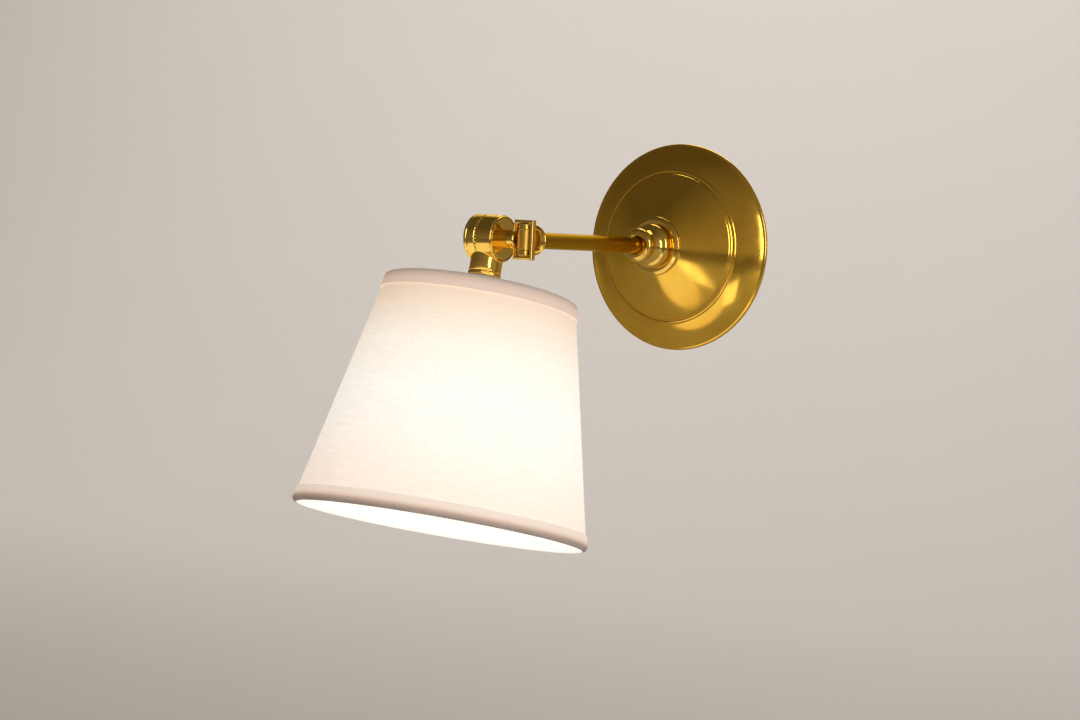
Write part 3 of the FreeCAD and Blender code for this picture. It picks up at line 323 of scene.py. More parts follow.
PLATE_RIM, PLATE_SHEET, CROWN = 66.3, 1.2, 28.6
STEP_FOOT, STEP_EDGE, STEP_TOP = (49.7, 11.3), (46.9, 12.6), (45.7, 14.0)
DOME_RADIUS = 240.0
plate_face = np.vstack([
    arc((PLATE_RIM, 0.5), (PLATE_RIM - 1.1, 2.3), 1.3, -1, 8),
    arc((PLATE_RIM - 1.1, 2.3), (PLATE_RIM - 2.0, 2.9), 1.4, 1, 4),
    arc((PLATE_RIM - 2.0, 2.9), STEP_FOOT, 44.0, -1, 34),
    arc(STEP_FOOT, (47.7, 11.95), 1.6, -1, 10),
    arc((47.7, 11.95), STEP_EDGE, 1.1, 1, 8),
    arc(STEP_EDGE, STEP_TOP, 2.9, -1, 10),
    arc(STEP_TOP, (19.5, 28.1), DOME_RADIUS, -1, 44),
    arc((19.5, 28.1), (17.0, CROWN), 7.0, -1, 4),
    [[16.9, CROWN], [5.1, CROWN]],
])
plate_back = np.vstack([
    [[5.1, CROWN - PLATE_SHEET], [16.6, CROWN - PLATE_SHEET]],
    arc((16.8, CROWN - PLATE_SHEET), (44.6, 13.3), 100.0, 1, 26),
    arc((44.6, 13.3), (48.4, 10.2), 3.6, 1, 6),
    arc((48.4, 10.2), (PLATE_RIM - 3.0, 1.6), 42.0, 1, 20),
    [[PLATE_RIM - 3.0, 0.0], [PLATE_RIM - 0.5, 0.0]],
])
plate = revolved("backplate_spun", WALL, np.vstack([plate_face, plate_back]), sides=256, crisp=40)
plate_brass = polished_brass("plate_brass", (0, 0, 0), (0, -1, 0), (0.90, 0.565, 0.085),
                             (0.78, 0.445, 0.05), 0.03)
clothe(plate, plate_brass)
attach(plate, "wall_side")
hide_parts("backplate")

# ---------------------------------------------------------------- flange and boss
# Two turned brass pieces that slide on the arm: a thin disc on the crown of the dome, and the boss
# with a wide ring, a hollow waist and a front bead. A grub screw under the boss locks them.
FLANGE_TOP = 31.2
flange = revolved("flange_disc", WALL, rounded([
    (5.1, CROWN), (18.9, CROWN, 0.5), (18.9, 30.1, 1.0), (16.6, FLANGE_TOP, 0.9), (5.1, FLANGE_TOP)]))
clothe(flange, polished_brass("flange_brass", (0, 0, 0), (0, -1, 0)))
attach(flange, "wall_side")
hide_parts("base_flange")

boss_outline = np.vstack([
    [[5.08, FLANGE_TOP], [11.4, FLANGE_TOP]],
    arc((11.5, 31.25), (11.5, 37.0), 2.9, -1, 16),
    arc((11.4, 37.1), (8.6, 45.0), 7.6, 1, 14),
    [[8.6, 45.2], [8.9, 45.9]],
    arc((9.0, 46.1), (8.7, 51.2), 2.62, -1, 16),
    [[8.6, 51.3], [6.4, 51.4], [5.5, 51.2], [5.08, 50.8]],
])
boss = revolved("boss_turned", WALL, boss_outline, sides=144, crisp=45)
clothe(boss, polished_brass("boss_brass", (0, 0, 0), (0, -1, 0)))
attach(boss, "wall_side")
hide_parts("arm_boss")

# ---------------------------------------------------------------- arm
# A straight drawn tube of brass, a little rougher than the castings, its colour painted darker and
# browner than theirs as painted shade. Its tail is held in the bridge of the bracket, and the knuckle
# is fitted in its far end.
SWING_REACH = 171.8
TUBE, TUBE_BORE, TAIL, TIP = 5.0, 3.9, 8.0, 163.2
arm = revolved("arm_drawn", WALL, rounded([
    (TUBE_BORE, TAIL, 0.25), (TUBE, TAIL, 0.3), (TUBE, TIP, 0.3), (TUBE_BORE, TIP, 0.25)]), sides=96)
# Painted shade: the tube's brass colours are set far darker than the plate's, so the tube looks
# shaded.
arm_brass_painted_shade = polished_brass("arm_brass_painted_shade", (0, 0, 0), (0, -1, 0), (0.52, 0.285, 0.022),
                           (0.38, 0.195, 0.012), 0.08)
clothe(arm, arm_brass_painted_shade)
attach(arm, "wall_side")
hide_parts("arm_tube")

# ---------------------------------------------------------------- collar and knuckle
# The collar is a shallow turned dome round the end of the arm. The knuckle is one milled piece: a
# spigot in the tube, a tongue through the ring and an upright barrel for the pivot pins.
COLLAR_BACK = SWING_REACH - 9.4
collar = revolved("collar_dome", WALL, np.vstack([
    [[5.08, COLLAR_BACK], [9.0, COLLAR_BACK]],
    arc((9.05, COLLAR_BACK), (9.05, SWING_REACH - 8.4), 0.55, -1, 5),
    arc((9.0, SWING_REACH - 8.35), (5.6, SWING_REACH - 6.85), 9.0, -1, 12),
    [[5.4, SWING_REACH - 6.8], [5.08, SWING_REACH - 6.8]]]), sides=120, crisp=50)
clothe(collar, polished_brass("collar_brass", (0, 0, 0), (0, -1, 0)))
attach(collar, "wall_side")
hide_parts("domed_collar")

PIVOT = (0, -SWING_REACH * MM, 0)


def smoothed(name, cad, finish, body, edge=0.00018, crisp=30.0):
    """A milled piece: a copy of its own solid with its corners merged and its sharp edges broken."""
    piece = bpy.data.objects.new(name, node[cad].data.copy())
    bpy.context.scene.collection.objects.link(piece)
    clean = bmesh.new()
    clean.from_mesh(piece.data)
    bmesh.ops.remove_doubles(clean, verts=clean.verts, dist=2e-6)
    bmesh.ops.dissolve_limit(clean, angle_limit=math.radians(0.4), verts=clean.verts,
                             edges=clean.edges)
    clean.to_mesh(piece.data)
    clean.free()
    if edge:
        broken = piece.modifiers.new("broken_edges", "BEVEL")
        broken.width = edge
        broken.segments = 2
        broken.limit_method = "ANGLE"
        broken.angle_limit = math.radians(50)
        broken.use_clamp_overlap = True
    piece.data.shade_smooth()
    piece.data.set_sharp_from_angle(angle=math.radians(crisp))
    clothe(piece, finish)
    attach(piece, body)
    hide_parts(cad)
    return piece


knuckle_brass = polished_brass("knuckle_brass", PIVOT, (0, 0, 1), (0.74, 0.47, 0.10),
                               (0.60, 0.36, 0.06), 0.27)
smoothed("knuckle_milled", "arm_knuckle", knuckle_brass, "wall_side")

# ---------------------------------------------------------------- swing ring
# A flat rectangular ring round the barrel, cast in brass and polished, with its edges broken. Two
# pins through its short bars carry it, with a spacer on each side of the barrel.
ring_x, ring_z, ring_y = 13.9 / 2, 23.7 / 2, 4.0 / 2
bar_x, bar_z = 2.25, 2.45


def framed(name, half, bars, depth, inner, outer, centre):
    """A rectangular ring. Its section, a bar rounded by one radius inside and another outside, is
    carried round a rectangle with mitred corners: half size(place) = inner half + bar * share."""
    bar_section = rounded([(0, -depth, inner), (bars[0], -depth, outer), (bars[0], depth, outer),
                           (0, depth, inner)], 5)
    share, y = bar_section[:, 0] / bars[0], bar_section[:, 1]
    across = half[0] - bars[0] + bars[0] * share
    up = half[1] - bars[1] + bars[1] * share
    run = np.array([-1, -0.94, -0.5, 0, 0.5, 0.94])
    x = np.concatenate([run, np.ones(6), -run, -np.ones(6)])
    z = np.concatenate([-np.ones(6), run, np.ones(6), -run])
    points = np.stack([across[:, None] * x, np.repeat(y[:, None], x.size, 1), up[:, None] * z], -1)
    return surface(name, points * MM + np.array(centre), (True, True), 38)


ring = framed("swing_ring_cast", (ring_x, ring_z), (bar_x, bar_z), ring_y, 0.95, 0.85, PIVOT)
cast_brass = polished_brass("ring_brass", PIVOT, (0, 1, 0))
clothe(ring, cast_brass)
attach(ring, "swing_side")
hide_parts("swing_ring")

PINS = (Vector(PIVOT), Vector((1, 0, 0)), Vector((0, 1, 0)), Vector((0, 0, 1)))
pin_steel = Finish("pin_steel", Metallic=1.0)
pin_tone = pin_steel.noise(900.0, 3.0, 0.5)
pin_steel.feed(Base_Color=pin_steel.mix(pin_tone, (0.50, 0.47, 0.42, 1), (0.68, 0.65, 0.60, 1)),
               Roughness=pin_tone * 0.2 + 0.18)
for name, side in (("upper_pivot_pin", 1), ("lower_pivot_pin", -1)):
    outline = rounded([(0, 3.2 * side), (1.3, 3.2 * side, 0.2), (1.3, 11.9 * side, 0.25),
                       (0, 11.9 * side)])
    pin = revolved(name + "_turned", PINS, outline, sides=40, poles=True)
    clothe(pin, pin_steel)
    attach(pin, "swing_side")
    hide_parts(name)
spacer_brass = polished_brass("spacer_brass", PIVOT, (0, 0, 1), (0.72, 0.46, 0.09),
                              (0.56, 0.33, 0.05), 0.12)
for name, side in (("upper_spacer", 1), ("lower_spacer", -1)):
    outline = rounded([(1.35, 6.0 * side, 0.2), (4.2, 6.0 * side, 0.45), (4.2, 9.3 * side, 0.45),
                       (1.35, 9.3 * side, 0.2)])
    spacer = revolved(name + "_turned", PINS, outline, sides=72)
    clothe(spacer, spacer_brass)
    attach(spacer, "swing_side")
    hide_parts(name)

# ---------------------------------------------------------------- stem
# A thick turned stem, slotted over the side bar of the ring and silver soldered there. Its axle
# carries the drum, with a fibre washer, a spring washer, a plain washer and a nut inside the drum.
stem_brass = polished_brass("stem_brass", PIVOT, (-1, 0, 0))
smoothed("stem_turned", "stem", stem_brass, "swing_side", edge=0.0, crisp=35)
STEM = (Vector(PIVOT), Vector((0, 1, 0)), Vector((0, 0, 1)), Vector((-1, 0, 0)))
DRUM_NEAR, DRUM_FAR, DRUM_RADIUS = 14.85, 35.55, 14.2
AXLE_BORE, CHEEK_RADIUS, CHEEK_BACK = 4.05, 12.6, DRUM_NEAR + 2.5
cheek = revolved("drum_cheek_polished", STEM, rounded([
    (AXLE_BORE, DRUM_NEAR), (CHEEK_RADIUS, DRUM_NEAR, 0.35), (CHEEK_RADIUS, CHEEK_BACK, 0.2),
    (AXLE_BORE, CHEEK_BACK)]), sides=144)
clothe(cheek, polished_brass("cheek_brass", PIVOT, (-1, 0, 0)))
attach(cheek, "swing_side")
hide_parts("drum_cheek")

fibre = Finish("pressed_fibre", Roughness=0.85)
fibre_fleck = fibre.noise(1600.0, 4.0, 0.7)
fibre.feed(Base_Color=fibre.mix(fibre_fleck, (0.16, 0.045, 0.03, 1), (0.30, 0.10, 0.06, 1)))
fibre.relief(fibre_fleck, 0.00005)
clothe(node["friction_washer"], fibre)
for name in ("spring_washer", "axle_nut"):
    clothe(node[name], zinc)

# ---------------------------------------------------------------- drum
# A short brass drum turned from bar, rounded at its open end, with a line of small beads rolled in
# a groove near its end cap. The cap is a plug with a rounded edge. Both tilt about the stem.
GROOVE, GROOVE_MIDDLE, BEADS = 13.75, 26.8, 42
drum_outline = np.vstack([
    [[12.9, DRUM_NEAR], [13.2, DRUM_NEAR]],
    arc((13.3, DRUM_NEAR), (DRUM_RADIUS, DRUM_NEAR + 0.9), 1.15, 1, 8),
    [[DRUM_RADIUS, DRUM_NEAR + 1.1], [DRUM_RADIUS, 25.7], [DRUM_RADIUS, 25.95], [13.9, 26.15]],
    [[GROOVE, 26.4], [GROOVE, 26.6], [GROOVE, GROOVE_MIDDLE], [GROOVE, 27.0], [GROOVE, 27.2]],
    [[13.9, 27.45], [DRUM_RADIUS, 27.65], [DRUM_RADIUS, 27.9], [DRUM_RADIUS, 30.9]],
    [[DRUM_RADIUS, 32.9], [14.1, 33.1], [12.2, 33.15]],
    [[12.2, 21.2], [AXLE_BORE, 21.2], [AXLE_BORE, 18.2], [12.9, 18.2]],
])


def beaded(turn, radius, height):
    """Small beads round the groove: radius + 0.25 mm * (1 + cos(beads * u)), level over the middle
    0.4 mm of the groove and fading over 0.6 mm on each side of that."""
    level = np.clip(1.3 - np.abs(height - GROOVE_MIDDLE) / 0.6, 0, 1)
    level = level * (radius > 13.5) * (radius < 14.1)
    return radius + 0.25 * level * (1 + np.cos(turn * BEADS))


drum = revolved("drum_turned", STEM, drum_outline, sides=504, crisp=32, swell=beaded)
drum_brass = polished_brass("drum_brass", PIVOT, (-1, 0, 0))
clothe(drum, drum_brass)
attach(drum, "shade_side")
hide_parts("drum_body")
cap_outline = np.vstack([
    [[0, 31.0], [12.0, 31.0], [12.1, 31.1], [12.15, 33.2], [14.0, 33.2]],
    [[DRUM_RADIUS, 33.4], [DRUM_RADIUS, 33.6]],
    arc((DRUM_RADIUS, 34.25), (12.9, DRUM_FAR), 1.3, -1, 10),
    [[12.7, DRUM_FAR], [8.0, DRUM_FAR], [0, DRUM_FAR]],
])
end_cap = revolved("drum_cap_turned", STEM, cap_outline, sides=176, poles=True, crisp=40)
clothe(end_cap, drum_brass)
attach(end_cap, "shade_side")
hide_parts("drum_end_cap")

# ---------------------------------------------------------------- neck
# A brass tube, its upper end cut to a saddle and brazed under the drum with a small fillet. A
# knurled ring at its foot locks the lampholder.
TILT = math.radians(12.3)
DRUM_AT = Vector((-24.9 * MM, -SWING_REACH * MM, 0))
DOWN = Vector((0, -math.sin(TILT), -math.cos(TILT)))
SHADE = (DRUM_AT, Vector((1, 0, 0)), Vector((0, -math.cos(TILT), math.sin(TILT))), DOWN)
NECK, NECK_BORE, NECK_FOOT = 9.7, 7.9, 21.2


def saddled(name, outer, inner, drum_radius, foot, fillet):
    """A tube whose top follows a drum. At angle u its top lies at sqrt(drum radius^2 - (r sin u)^2)
    down the axis; rings of a quarter circle flare it there, and straight rings lead to the foot."""
    turn = np.linspace(0, 2 * math.pi, 160, endpoint=False)
    flare = np.linspace(0, math.pi / 2, 7)
    straight = [outer, outer, outer, outer - 0.25, inner, inner]
    radii = list(outer + fillet * (1 - np.sin(flare))) + straight
    drops = list(fillet * (1 - np.cos(flare)))
    shares = [0.05, 0.5, 0.96, 1.0, 1.0, 0.0]
    rows = []
    for index, radius in enumerate(radii):
        top = np.sqrt(drum_radius ** 2 - (radius * np.sin(turn)) ** 2) - 0.05
        if index < len(drops):
            height = top + drops[index]
        else:
            start = top + (fillet if index < len(radii) - 1 else 0)
            height = start + (foot - start) * shares[index - len(drops)]
        rows.append(np.stack([radius * np.cos(turn), radius * np.sin(turn), height], -1))
    local = np.stack(rows)
    origin, first, second, axis = (np.array(part) for part in SHADE)
    points = origin + MM * (local[..., :1] * first + local[..., 1:2] * second + local[..., 2:] * axis)
    return surface(name, points, (True, True), 40)


neck = saddled("neck_brazed", NECK, NECK_BORE, DRUM_RADIUS, NECK_FOOT, 0.4)
neck_brass = polished_brass("neck_brass", DRUM_AT, DOWN)
clothe(neck, neck_brass)
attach(neck, "shade_side")
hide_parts("shade_neck")


KNURL, KNURL_FOOT = 9.75, 23.8


def knurled(turn, radius, height):
    """84 ridges round the middle of the ring: radius + 0.14 mm * |sin(42 u)|."""
    middle = np.clip(1.0 - np.abs(height - 22.5) / 0.95, 0, 1) ** 0.4 * (radius > 9.5)
    return radius + 0.14 * middle * np.abs(np.sin(turn * 42))


knurl = revolved("neck_ring_knurled", SHADE, np.vstack([
    [[NECK_BORE, NECK_FOOT], [9.5, NECK_FOOT], [9.7, 21.4]],
    np.stack([np.full(9, KNURL), np.linspace(21.6, 23.4, 9)], 1),
    [[9.7, 23.6], [9.5, KNURL_FOOT], [NECK_BORE, KNURL_FOOT]]]), sides=504, crisp=60, swell=knurled)
clothe(knurl, neck_brass)
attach(knurl, "shade_side")
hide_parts("neck_ring")

# ---------------------------------------------------------------- lampholder
# A small moulded lampholder: a cap with a rounded shoulder, a threaded body that takes two shade
# rings with grip ribs, a porcelain core and a threaded metal shell for the lamp.
holder_white = Finish("holder_moulding", Roughness=0.36)
holder_cloud = holder_white.noise(420.0, 3.0, 0.5)
holder_white.feed(
    Base_Color=holder_white.mix(holder_cloud, (0.66, 0.63, 0.56, 1), (0.74, 0.71, 0.65, 1)))
holder_white.relief(holder_white.noise(4200.0, 2.0, 0.5), 0.00002)
holder_cap = revolved("holder_cap_moulded", SHADE, np.vstack([
    [[5.0, 15.8], [7.8, 15.8], [7.85, 23.7], [9.4, 23.8]],
    arc((9.7, 23.85), (13.6, 28.2), 6.4, -1, 12),
    [[13.6, 28.6], [13.6, 37.2], [13.45, 37.4], [13.45, 37.8], [12.4, 37.8], [12.4, 28.4]],
    arc((12.4, 28.2), (9.1, 25.0), 5.2, 1, 8), [[9.0, 25.0], [5.0, 25.0]]]), sides=120, crisp=40)


HOLDER_PITCH = 2.5


def holder_thread(turn, radius, height):
    """A low screw thread from 39 to 63 mm: radius - 0.15 mm * (1 - cos(2 pi height / pitch + u))."""
    fade = np.clip((height - 39.0) / 1.0, 0, 1) * np.clip((63.0 - height) / 1.0, 0, 1)
    depth = fade * (radius > 13)
    return radius - 0.15 * depth * (1 - np.cos(2 * math.pi * height / HOLDER_PITCH + turn))


holder_lower = revolved("holder_body_threaded", SHADE, np.vstack([
    [[12.4, 37.85]], np.stack([np.full(105, 13.6), np.linspace(37.85, 63.8, 105)], 1),
    [[12.4, 63.8], [12.4, 50.0]]]), sides=96, crisp=50, swell=holder_thread)
for piece, cad in ((holder_cap, "holder_cap"), (holder_lower, "holder_body")):
    clothe(piece, holder_white)
    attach(piece, "shade_side")
    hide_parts(cad)


def grip(turn, radius, height):
    """24 shallow hollows round the rim: radius - 0.5 mm * max(cos(24 u), 0)^2, at any height."""
    return radius - 0.5 * np.clip(np.cos(turn * 24), 0, 1) ** 2 * (radius > 16)


RING_BORE, RING_RADIUS, RING_HEIGHT = 13.65, 17.6, 3.0
for name, start in (("upper_shade_ring", 46.5), ("lower_shade_ring", 50.8)):
    end = start + RING_HEIGHT
    shade_ring = revolved(name + "_moulded", SHADE, rounded([
        (RING_BORE, start, 0.3), (RING_RADIUS, start, 0.5), (RING_RADIUS, end, 0.5),
        (RING_BORE, end, 0.3)]), sides=240, crisp=50, swell=grip)
    clothe(shade_ring, holder_white)
    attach(shade_ring, "shade_side")
    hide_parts(name)

porcelain = Finish("holder_porcelain", Roughness=0.5, Coat_Weight=0.2)
porcelain_speck = porcelain.noise(1500.0, 3.0, 0.6)
porcelain.feed(
    Base_Color=porcelain.mix(porcelain_speck, (0.74, 0.72, 0.67, 1), (0.82, 0.81, 0.77, 1)))
clothe(node["holder_core"], porcelain)
nickel = Finish("nickel_shell", Metallic=1.0)
nickel_tone = nickel.noise(500.0, 3.0, 0.6)
nickel.feed(Base_Color=nickel.mix(nickel_tone, (0.55, 0.53, 0.49, 1), (0.72, 0.70, 0.66, 1)),
            Roughness=nickel_tone * 0.18 + 0.2)
nickel.relief(nickel.noise(2600.0, 2.0, 0.5), 0.00002)
for name in ("centre_contact", "socket_shell"):
    clothe(node[name], nickel)

# ---------------------------------------------------------------- shade carrier
# A flat ring clamped between the shade rings, with three welded wires that rise to the top of the
# shade, all coated white. The two wire rings lie hidden in the bindings.
coated = Finish("white_coating", Roughness=0.4)
coated_cloud = coated.noise(380.0, 3.0, 0.5)
coated.feed(Base_Color=coated.mix(coated_cloud, (0.70, 0.68, 0.63, 1), (0.78, 0.76, 0.72, 1)))
coated.relief(coated.noise(3400.0, 2.0, 0.5), 0.00003)
for name in ("top_wire_ring", "bottom_wire_ring"):
    clothe(node[name], coated)
smoothed("carrier_welded", "shade_carrier", coated, "shade_side", edge=0.0,
         crisp=40)

# ---------------------------------------------------------------- fabric cone
# A stiff white lining rolled into a cone and covered with fine slub cloth; the light of the lamp
# inside is painted on both as glow. The cloth overlaps itself in one straight seam on the wall side.
TOP, BOTTOM = 32.2, 175.6
TOP_RADIUS, BOTTOM_RADIUS = 58.1, 89.0
GROWTH = (BOTTOM_RADIUS - TOP_RADIUS) / (BOTTOM - TOP)
CLOTH_RADIUS, SEAM_HALF, CLOTH_COLUMNS = 72.0, 4.5, 288


def edge_radius(drop):
    return TOP_RADIUS + GROWTH * (drop - TOP)


def cone_skin(name, outer, thick, start, end, seam):
    """A cone with a wall, wrapped on both ways. Outside radius = edge radius - outer + a step of
    0.22 mm over the 9 mm of the seam; inside radius = edge radius - outer - thick. Its UV map holds
    metres round and down the cloth."""
    turn = np.linspace(0, 2 * math.pi, CLOTH_COLUMNS, endpoint=False)
    drop = np.linspace(start, end, 73)
    away = np.abs((turn - 1.5 * math.pi + math.pi) % (2 * math.pi) - math.pi) * CLOTH_RADIUS
    lap = 0.22 * np.clip((SEAM_HALF - away) / 0.6, 0, 1) if seam else 0 * turn
    outside = edge_radius(drop)[:, None] - outer + lap[None, :]
    inside = (edge_radius(drop)[:, None] - outer - thick + 0 * lap[None, :])[::-1]
    radius = np.vstack([outside, inside])
    height = np.concatenate([drop, drop[::-1]])[:, None] + 0 * turn[None, :]
    origin, first, second, axis = (np.array(part) for part in SHADE)
    spoke = np.cos(turn)[:, None] * first + np.sin(turn)[:, None] * second
    points = origin + MM * (height[..., None] * axis + radius[..., None] * spoke[None])
    piece = surface(name, points, (True, True), 50)
    lay_cloth(piece)
    return piece


def lay_cloth(piece):
    """A UV map in metres of cloth: u = angle about the axis of the shade * the cloth's mean radius,
    v = way down the axis. A face that crosses the first angle keeps its corners together."""
    mesh = piece.data
    place = np.empty(len(mesh.vertices) * 3)
    mesh.vertices.foreach_get("co", place)
    relative = place.reshape(-1, 3) - np.array(SHADE[0])
    first, second, axis = (np.array(part) for part in SHADE[1:])
    turn = np.arctan2(relative @ second, relative @ first)
    down = relative @ axis
    corner = np.empty(len(mesh.loops), int)
    mesh.loops.foreach_get("vertex_index", corner)
    start = np.empty(len(mesh.polygons), int)
    mesh.polygons.foreach_get("loop_start", start)
    total = np.empty(len(mesh.polygons), int)
    mesh.polygons.foreach_get("loop_total", total)
    owner = np.repeat(start, total)
    loop_turn = turn[corner]
    lead = turn[corner[owner]]
    loop_turn = lead + (loop_turn - lead + math.pi) % (2 * math.pi) - math.pi
    cloth = mesh.uv_layers.new(name="cloth")
    cloth.data.foreach_set("uv", np.stack([loop_turn * (CLOTH_RADIUS * MM), down[corner]], 1).ravel())


def woven(name, glow_strength, tones, glow, slub_depth, plain, lit_inside=False):
    """Cloth with painted glow: its emission stands in for the light of the lamp inside. Threads: two
    crossed waves of the UV map, 0.41 mm apart, broken by noise; slubs: noise drawn out 11 times round
    the shade. The painted glow is warm and low near the edges and nearly white beside the lamp, by the
    way down the axis. Lit inside, the side of a fold that faces the lamp, about 3.3 mm or more inside
    the cone, glows as the lining does."""
    cloth = Finish(name, **plain)
    uv = cloth.add("ShaderNodeUVMap", {"uv_map": "cloth"}, {}).outputs[0]
    stretched = cloth.add("ShaderNodeMapping", {},
                          {"Vector": uv, "Scale": (62.0, 660.0, 1.0)}).outputs[0]
    slub = cloth.noise(1.0, 4.0, 0.6, stretched)
    upright = cloth.add("ShaderNodeMapping", {},
                        {"Vector": uv, "Scale": (1100.0, 60.0, 1.0)}).outputs[0]
    warp = cloth.noise(1.0, 3.0, 0.55, upright)
    threads = {"Vector": uv, "Scale": 760.0, "Distortion": 0.6, "Detail": 1.0}
    across = cloth.value("ShaderNodeTexWave", {"bands_direction": "X"}, threads)
    down = cloth.value("ShaderNodeTexWave", {"bands_direction": "Y"}, threads)
    weave = across * 0.3 + down * 0.3 + slub * 0.9 + warp * 0.45
    tone = (slub * 0.6 + warp * 0.4).above(0.54, 0.26)
    along, across_axis = cloth.about(DRUM_AT, DOWN)
    share = (along / MM - TOP) / (BOTTOM - TOP)
    ramp = cloth.add("ShaderNodeValToRGB", {"stops": glow}, {0: share}).outputs[0]
    if lit_inside:
        sunk = share * (BOTTOM_RADIUS - TOP_RADIUS) + TOP_RADIUS - across_axis / MM
        ramp = cloth.mix(sunk.above(3.3, 1.2), ramp, (0.88, 0.85, 0.80, 1))
    shaded = cloth.mix(tone * 0.22, ramp, (0.30, 0.20, 0.13, 1))
    cloth.feed(Base_Color=cloth.mix(tone, *tones), Emission_Color=shaded)
    cloth.skin.inputs["Emission Strength"].default_value = glow_strength
    cloth.relief(weave, slub_depth)
    return cloth


# Painted glow of the cloth: emission colours by the share of the way down the cone, warm near its
# edges and nearly white beside the lamp.
GLOW = [(0.0, (0.56, 0.385, 0.27)), (0.06, (0.635, 0.455, 0.33)), (0.14, (0.735, 0.58, 0.45)),
        (0.30, (0.83, 0.755, 0.655)), (0.51, (0.85, 0.82, 0.77)), (0.72, (0.85, 0.77, 0.695)),
        (0.88, (0.82, 0.685, 0.59)), (1.0, (0.77, 0.615, 0.51))]
cloth_finish = woven("slub_cloth", 1.0, ((0.58, 0.55, 0.51, 1), (0.64, 0.61, 0.57, 1)), GLOW,
                     0.00013, {"Roughness": 0.88, "Sheen_Weight": 0.15})
cloth_skin = cone_skin("fabric_cone", 0.95, 0.35, TOP + 0.95, BOTTOM - 0.95, True)
clothe(cloth_skin, cloth_finish)
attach(cloth_skin, "shade_side")
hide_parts("fabric_panel")

lining_finish = Finish("stiff_lining_painted_glow", Roughness=0.55)
lining_cloud = lining_finish.noise(240.0, 3.0, 0.5)
# Painted glow: the lining's emission stands in for the lamp's light falling on it.
lining_finish.feed(
    Base_Color=lining_finish.mix(lining_cloud, (0.72, 0.70, 0.66, 1), (0.78, 0.76, 0.72, 1)),
    Emission_Color=lining_finish.mix(lining_cloud, (0.96, 0.90, 0.82, 1), (1.0, 0.95, 0.88, 1)))
lining_finish.skin.inputs["Emission Strength"].default_value = 0.58
lining_finish.relief(lining_finish.noise(1800.0, 2.0, 0.5), 0.00003)
lining = cone_skin("shade_lining", 1.33, 0.6, TOP + 1.0, BOTTOM - 1.0, False)
clothe(lining, lining_finish)
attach(lining, "shade_side")

# ---------------------------------------------------------------- bindings
# Ribbon of the same cloth, folded over the top and bottom wire rings and glued: a flat band outside,
# a round roll over the wire, and a short flap inside. It dims the light that comes through: its
# painted glow is lower than the cone's, and its base colour is painted darker than the cone's cloth as
# painted shade.


ROLL, RIBBON_THICK = 2.45, 0.3


def bound(name, edge, way, seed):
    """A folded ribbon round an edge. The section goes up the flat band, round the wire in a half
    circle and down the flap, 0.3 mm thick; the band's free edge wanders by 0.12 mm of three waves,
    and the roll puckers by 0.03 mm * sin(57 u)."""
    radius = edge_radius(edge)
    slope = GROWTH * way
    band = [(radius - 0.40 + slope * deep, edge + way * deep) for deep in (9.0, 8.7, 7.4, 5.8, 4.2)]
    middle = (radius - 2.82 + slope * 2.5, edge + way * 2.5)
    fold = [(middle[0] + ROLL * math.cos(turn), middle[1] - way * ROLL * math.sin(turn))
            for turn in np.linspace(-0.3, math.pi + 0.2, 19)]
    flap = [(radius - 5.25 + slope * deep, edge + way * deep) for deep in (3.8, 4.8, 5.9)]
    line = np.array(band + fold + flap)
    ahead = np.gradient(line, axis=0)
    square = np.stack([-ahead[:, 1], ahead[:, 0]], 1) / np.hypot(ahead[:, 0], ahead[:, 1])[:, None]
    inner = line + square * RIBBON_THICK * way
    section = np.vstack([line, inner[::-1]])
    turn = np.linspace(0, 2 * math.pi, CLOTH_COLUMNS, endpoint=False)
    waves = sum(np.sin(turn * count + seed * count) for count in (5, 11, 19)) / 3
    depth = (section[:, 1] - edge) * way
    wander = 0.12 * waves[None, :] * np.clip((depth[:, None] - 7.0) / 2.0, 0, 1) * way
    pucker = 0.03 * np.sin(turn * 57 + seed)[None, :] * np.clip(1 - depth[:, None] / 5.0, 0, 1)
    height = section[:, 1][:, None] + wander
    out = section[:, 0][:, None] + pucker
    origin, first, second, axis = (np.array(part) for part in SHADE)
    spoke = np.cos(turn)[:, None] * first + np.sin(turn)[:, None] * second
    points = origin + MM * (height[..., None] * axis + out[..., None] * spoke[None])
    piece = surface(name, points, (True, True), 60)
    lay_cloth(piece)
    return piece


# Painted glow of the bindings: dark at the top of the top roll, and fading to no glow at the foot of
# the bottom roll.
TOP_GLOW = [(0.0, (0.13, 0.09, 0.07)), (0.012, (0.29, 0.205, 0.16)), (0.026, (0.45, 0.325, 0.25)),
            (0.045, (0.545, 0.395, 0.31)), (0.2, (0.545, 0.395, 0.31))]
BOTTOM_GLOW = [(0.8, (0.68, 0.56, 0.47)), (0.957, (0.68, 0.56, 0.47)), (0.966, (0.64, 0.485, 0.375)),
               (0.972, (0.49, 0.36, 0.27)), (0.980, (0.27, 0.175, 0.13)), (0.988, (0.12, 0.05, 0.035)),
               (0.995, (0.05, 0.01, 0.01)), (1.0, (0.0, 0.0, 0.0))]
for name, edge, way, glow, seed in (("top_trim", TOP, 1, TOP_GLOW, 0.4),
                                    ("bottom_trim", BOTTOM, -1, BOTTOM_GLOW, 1.7)):
    ribbon = bound(name + "_ribbon", edge, way, seed)
    # Painted shade: the ribbon's base colours are darker than the cone's cloth.
    ribbon_finish = woven(name + "_cloth", 1.0, ((0.47, 0.43, 0.405, 1), (0.53, 0.49, 0.465, 1)),
                          glow, 0.00009, {"Roughness": 0.86, "Sheen_Weight": 0.15}, lit_inside=True)
    clothe(ribbon, ribbon_finish)
    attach(ribbon, "shade_side")
    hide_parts(name)

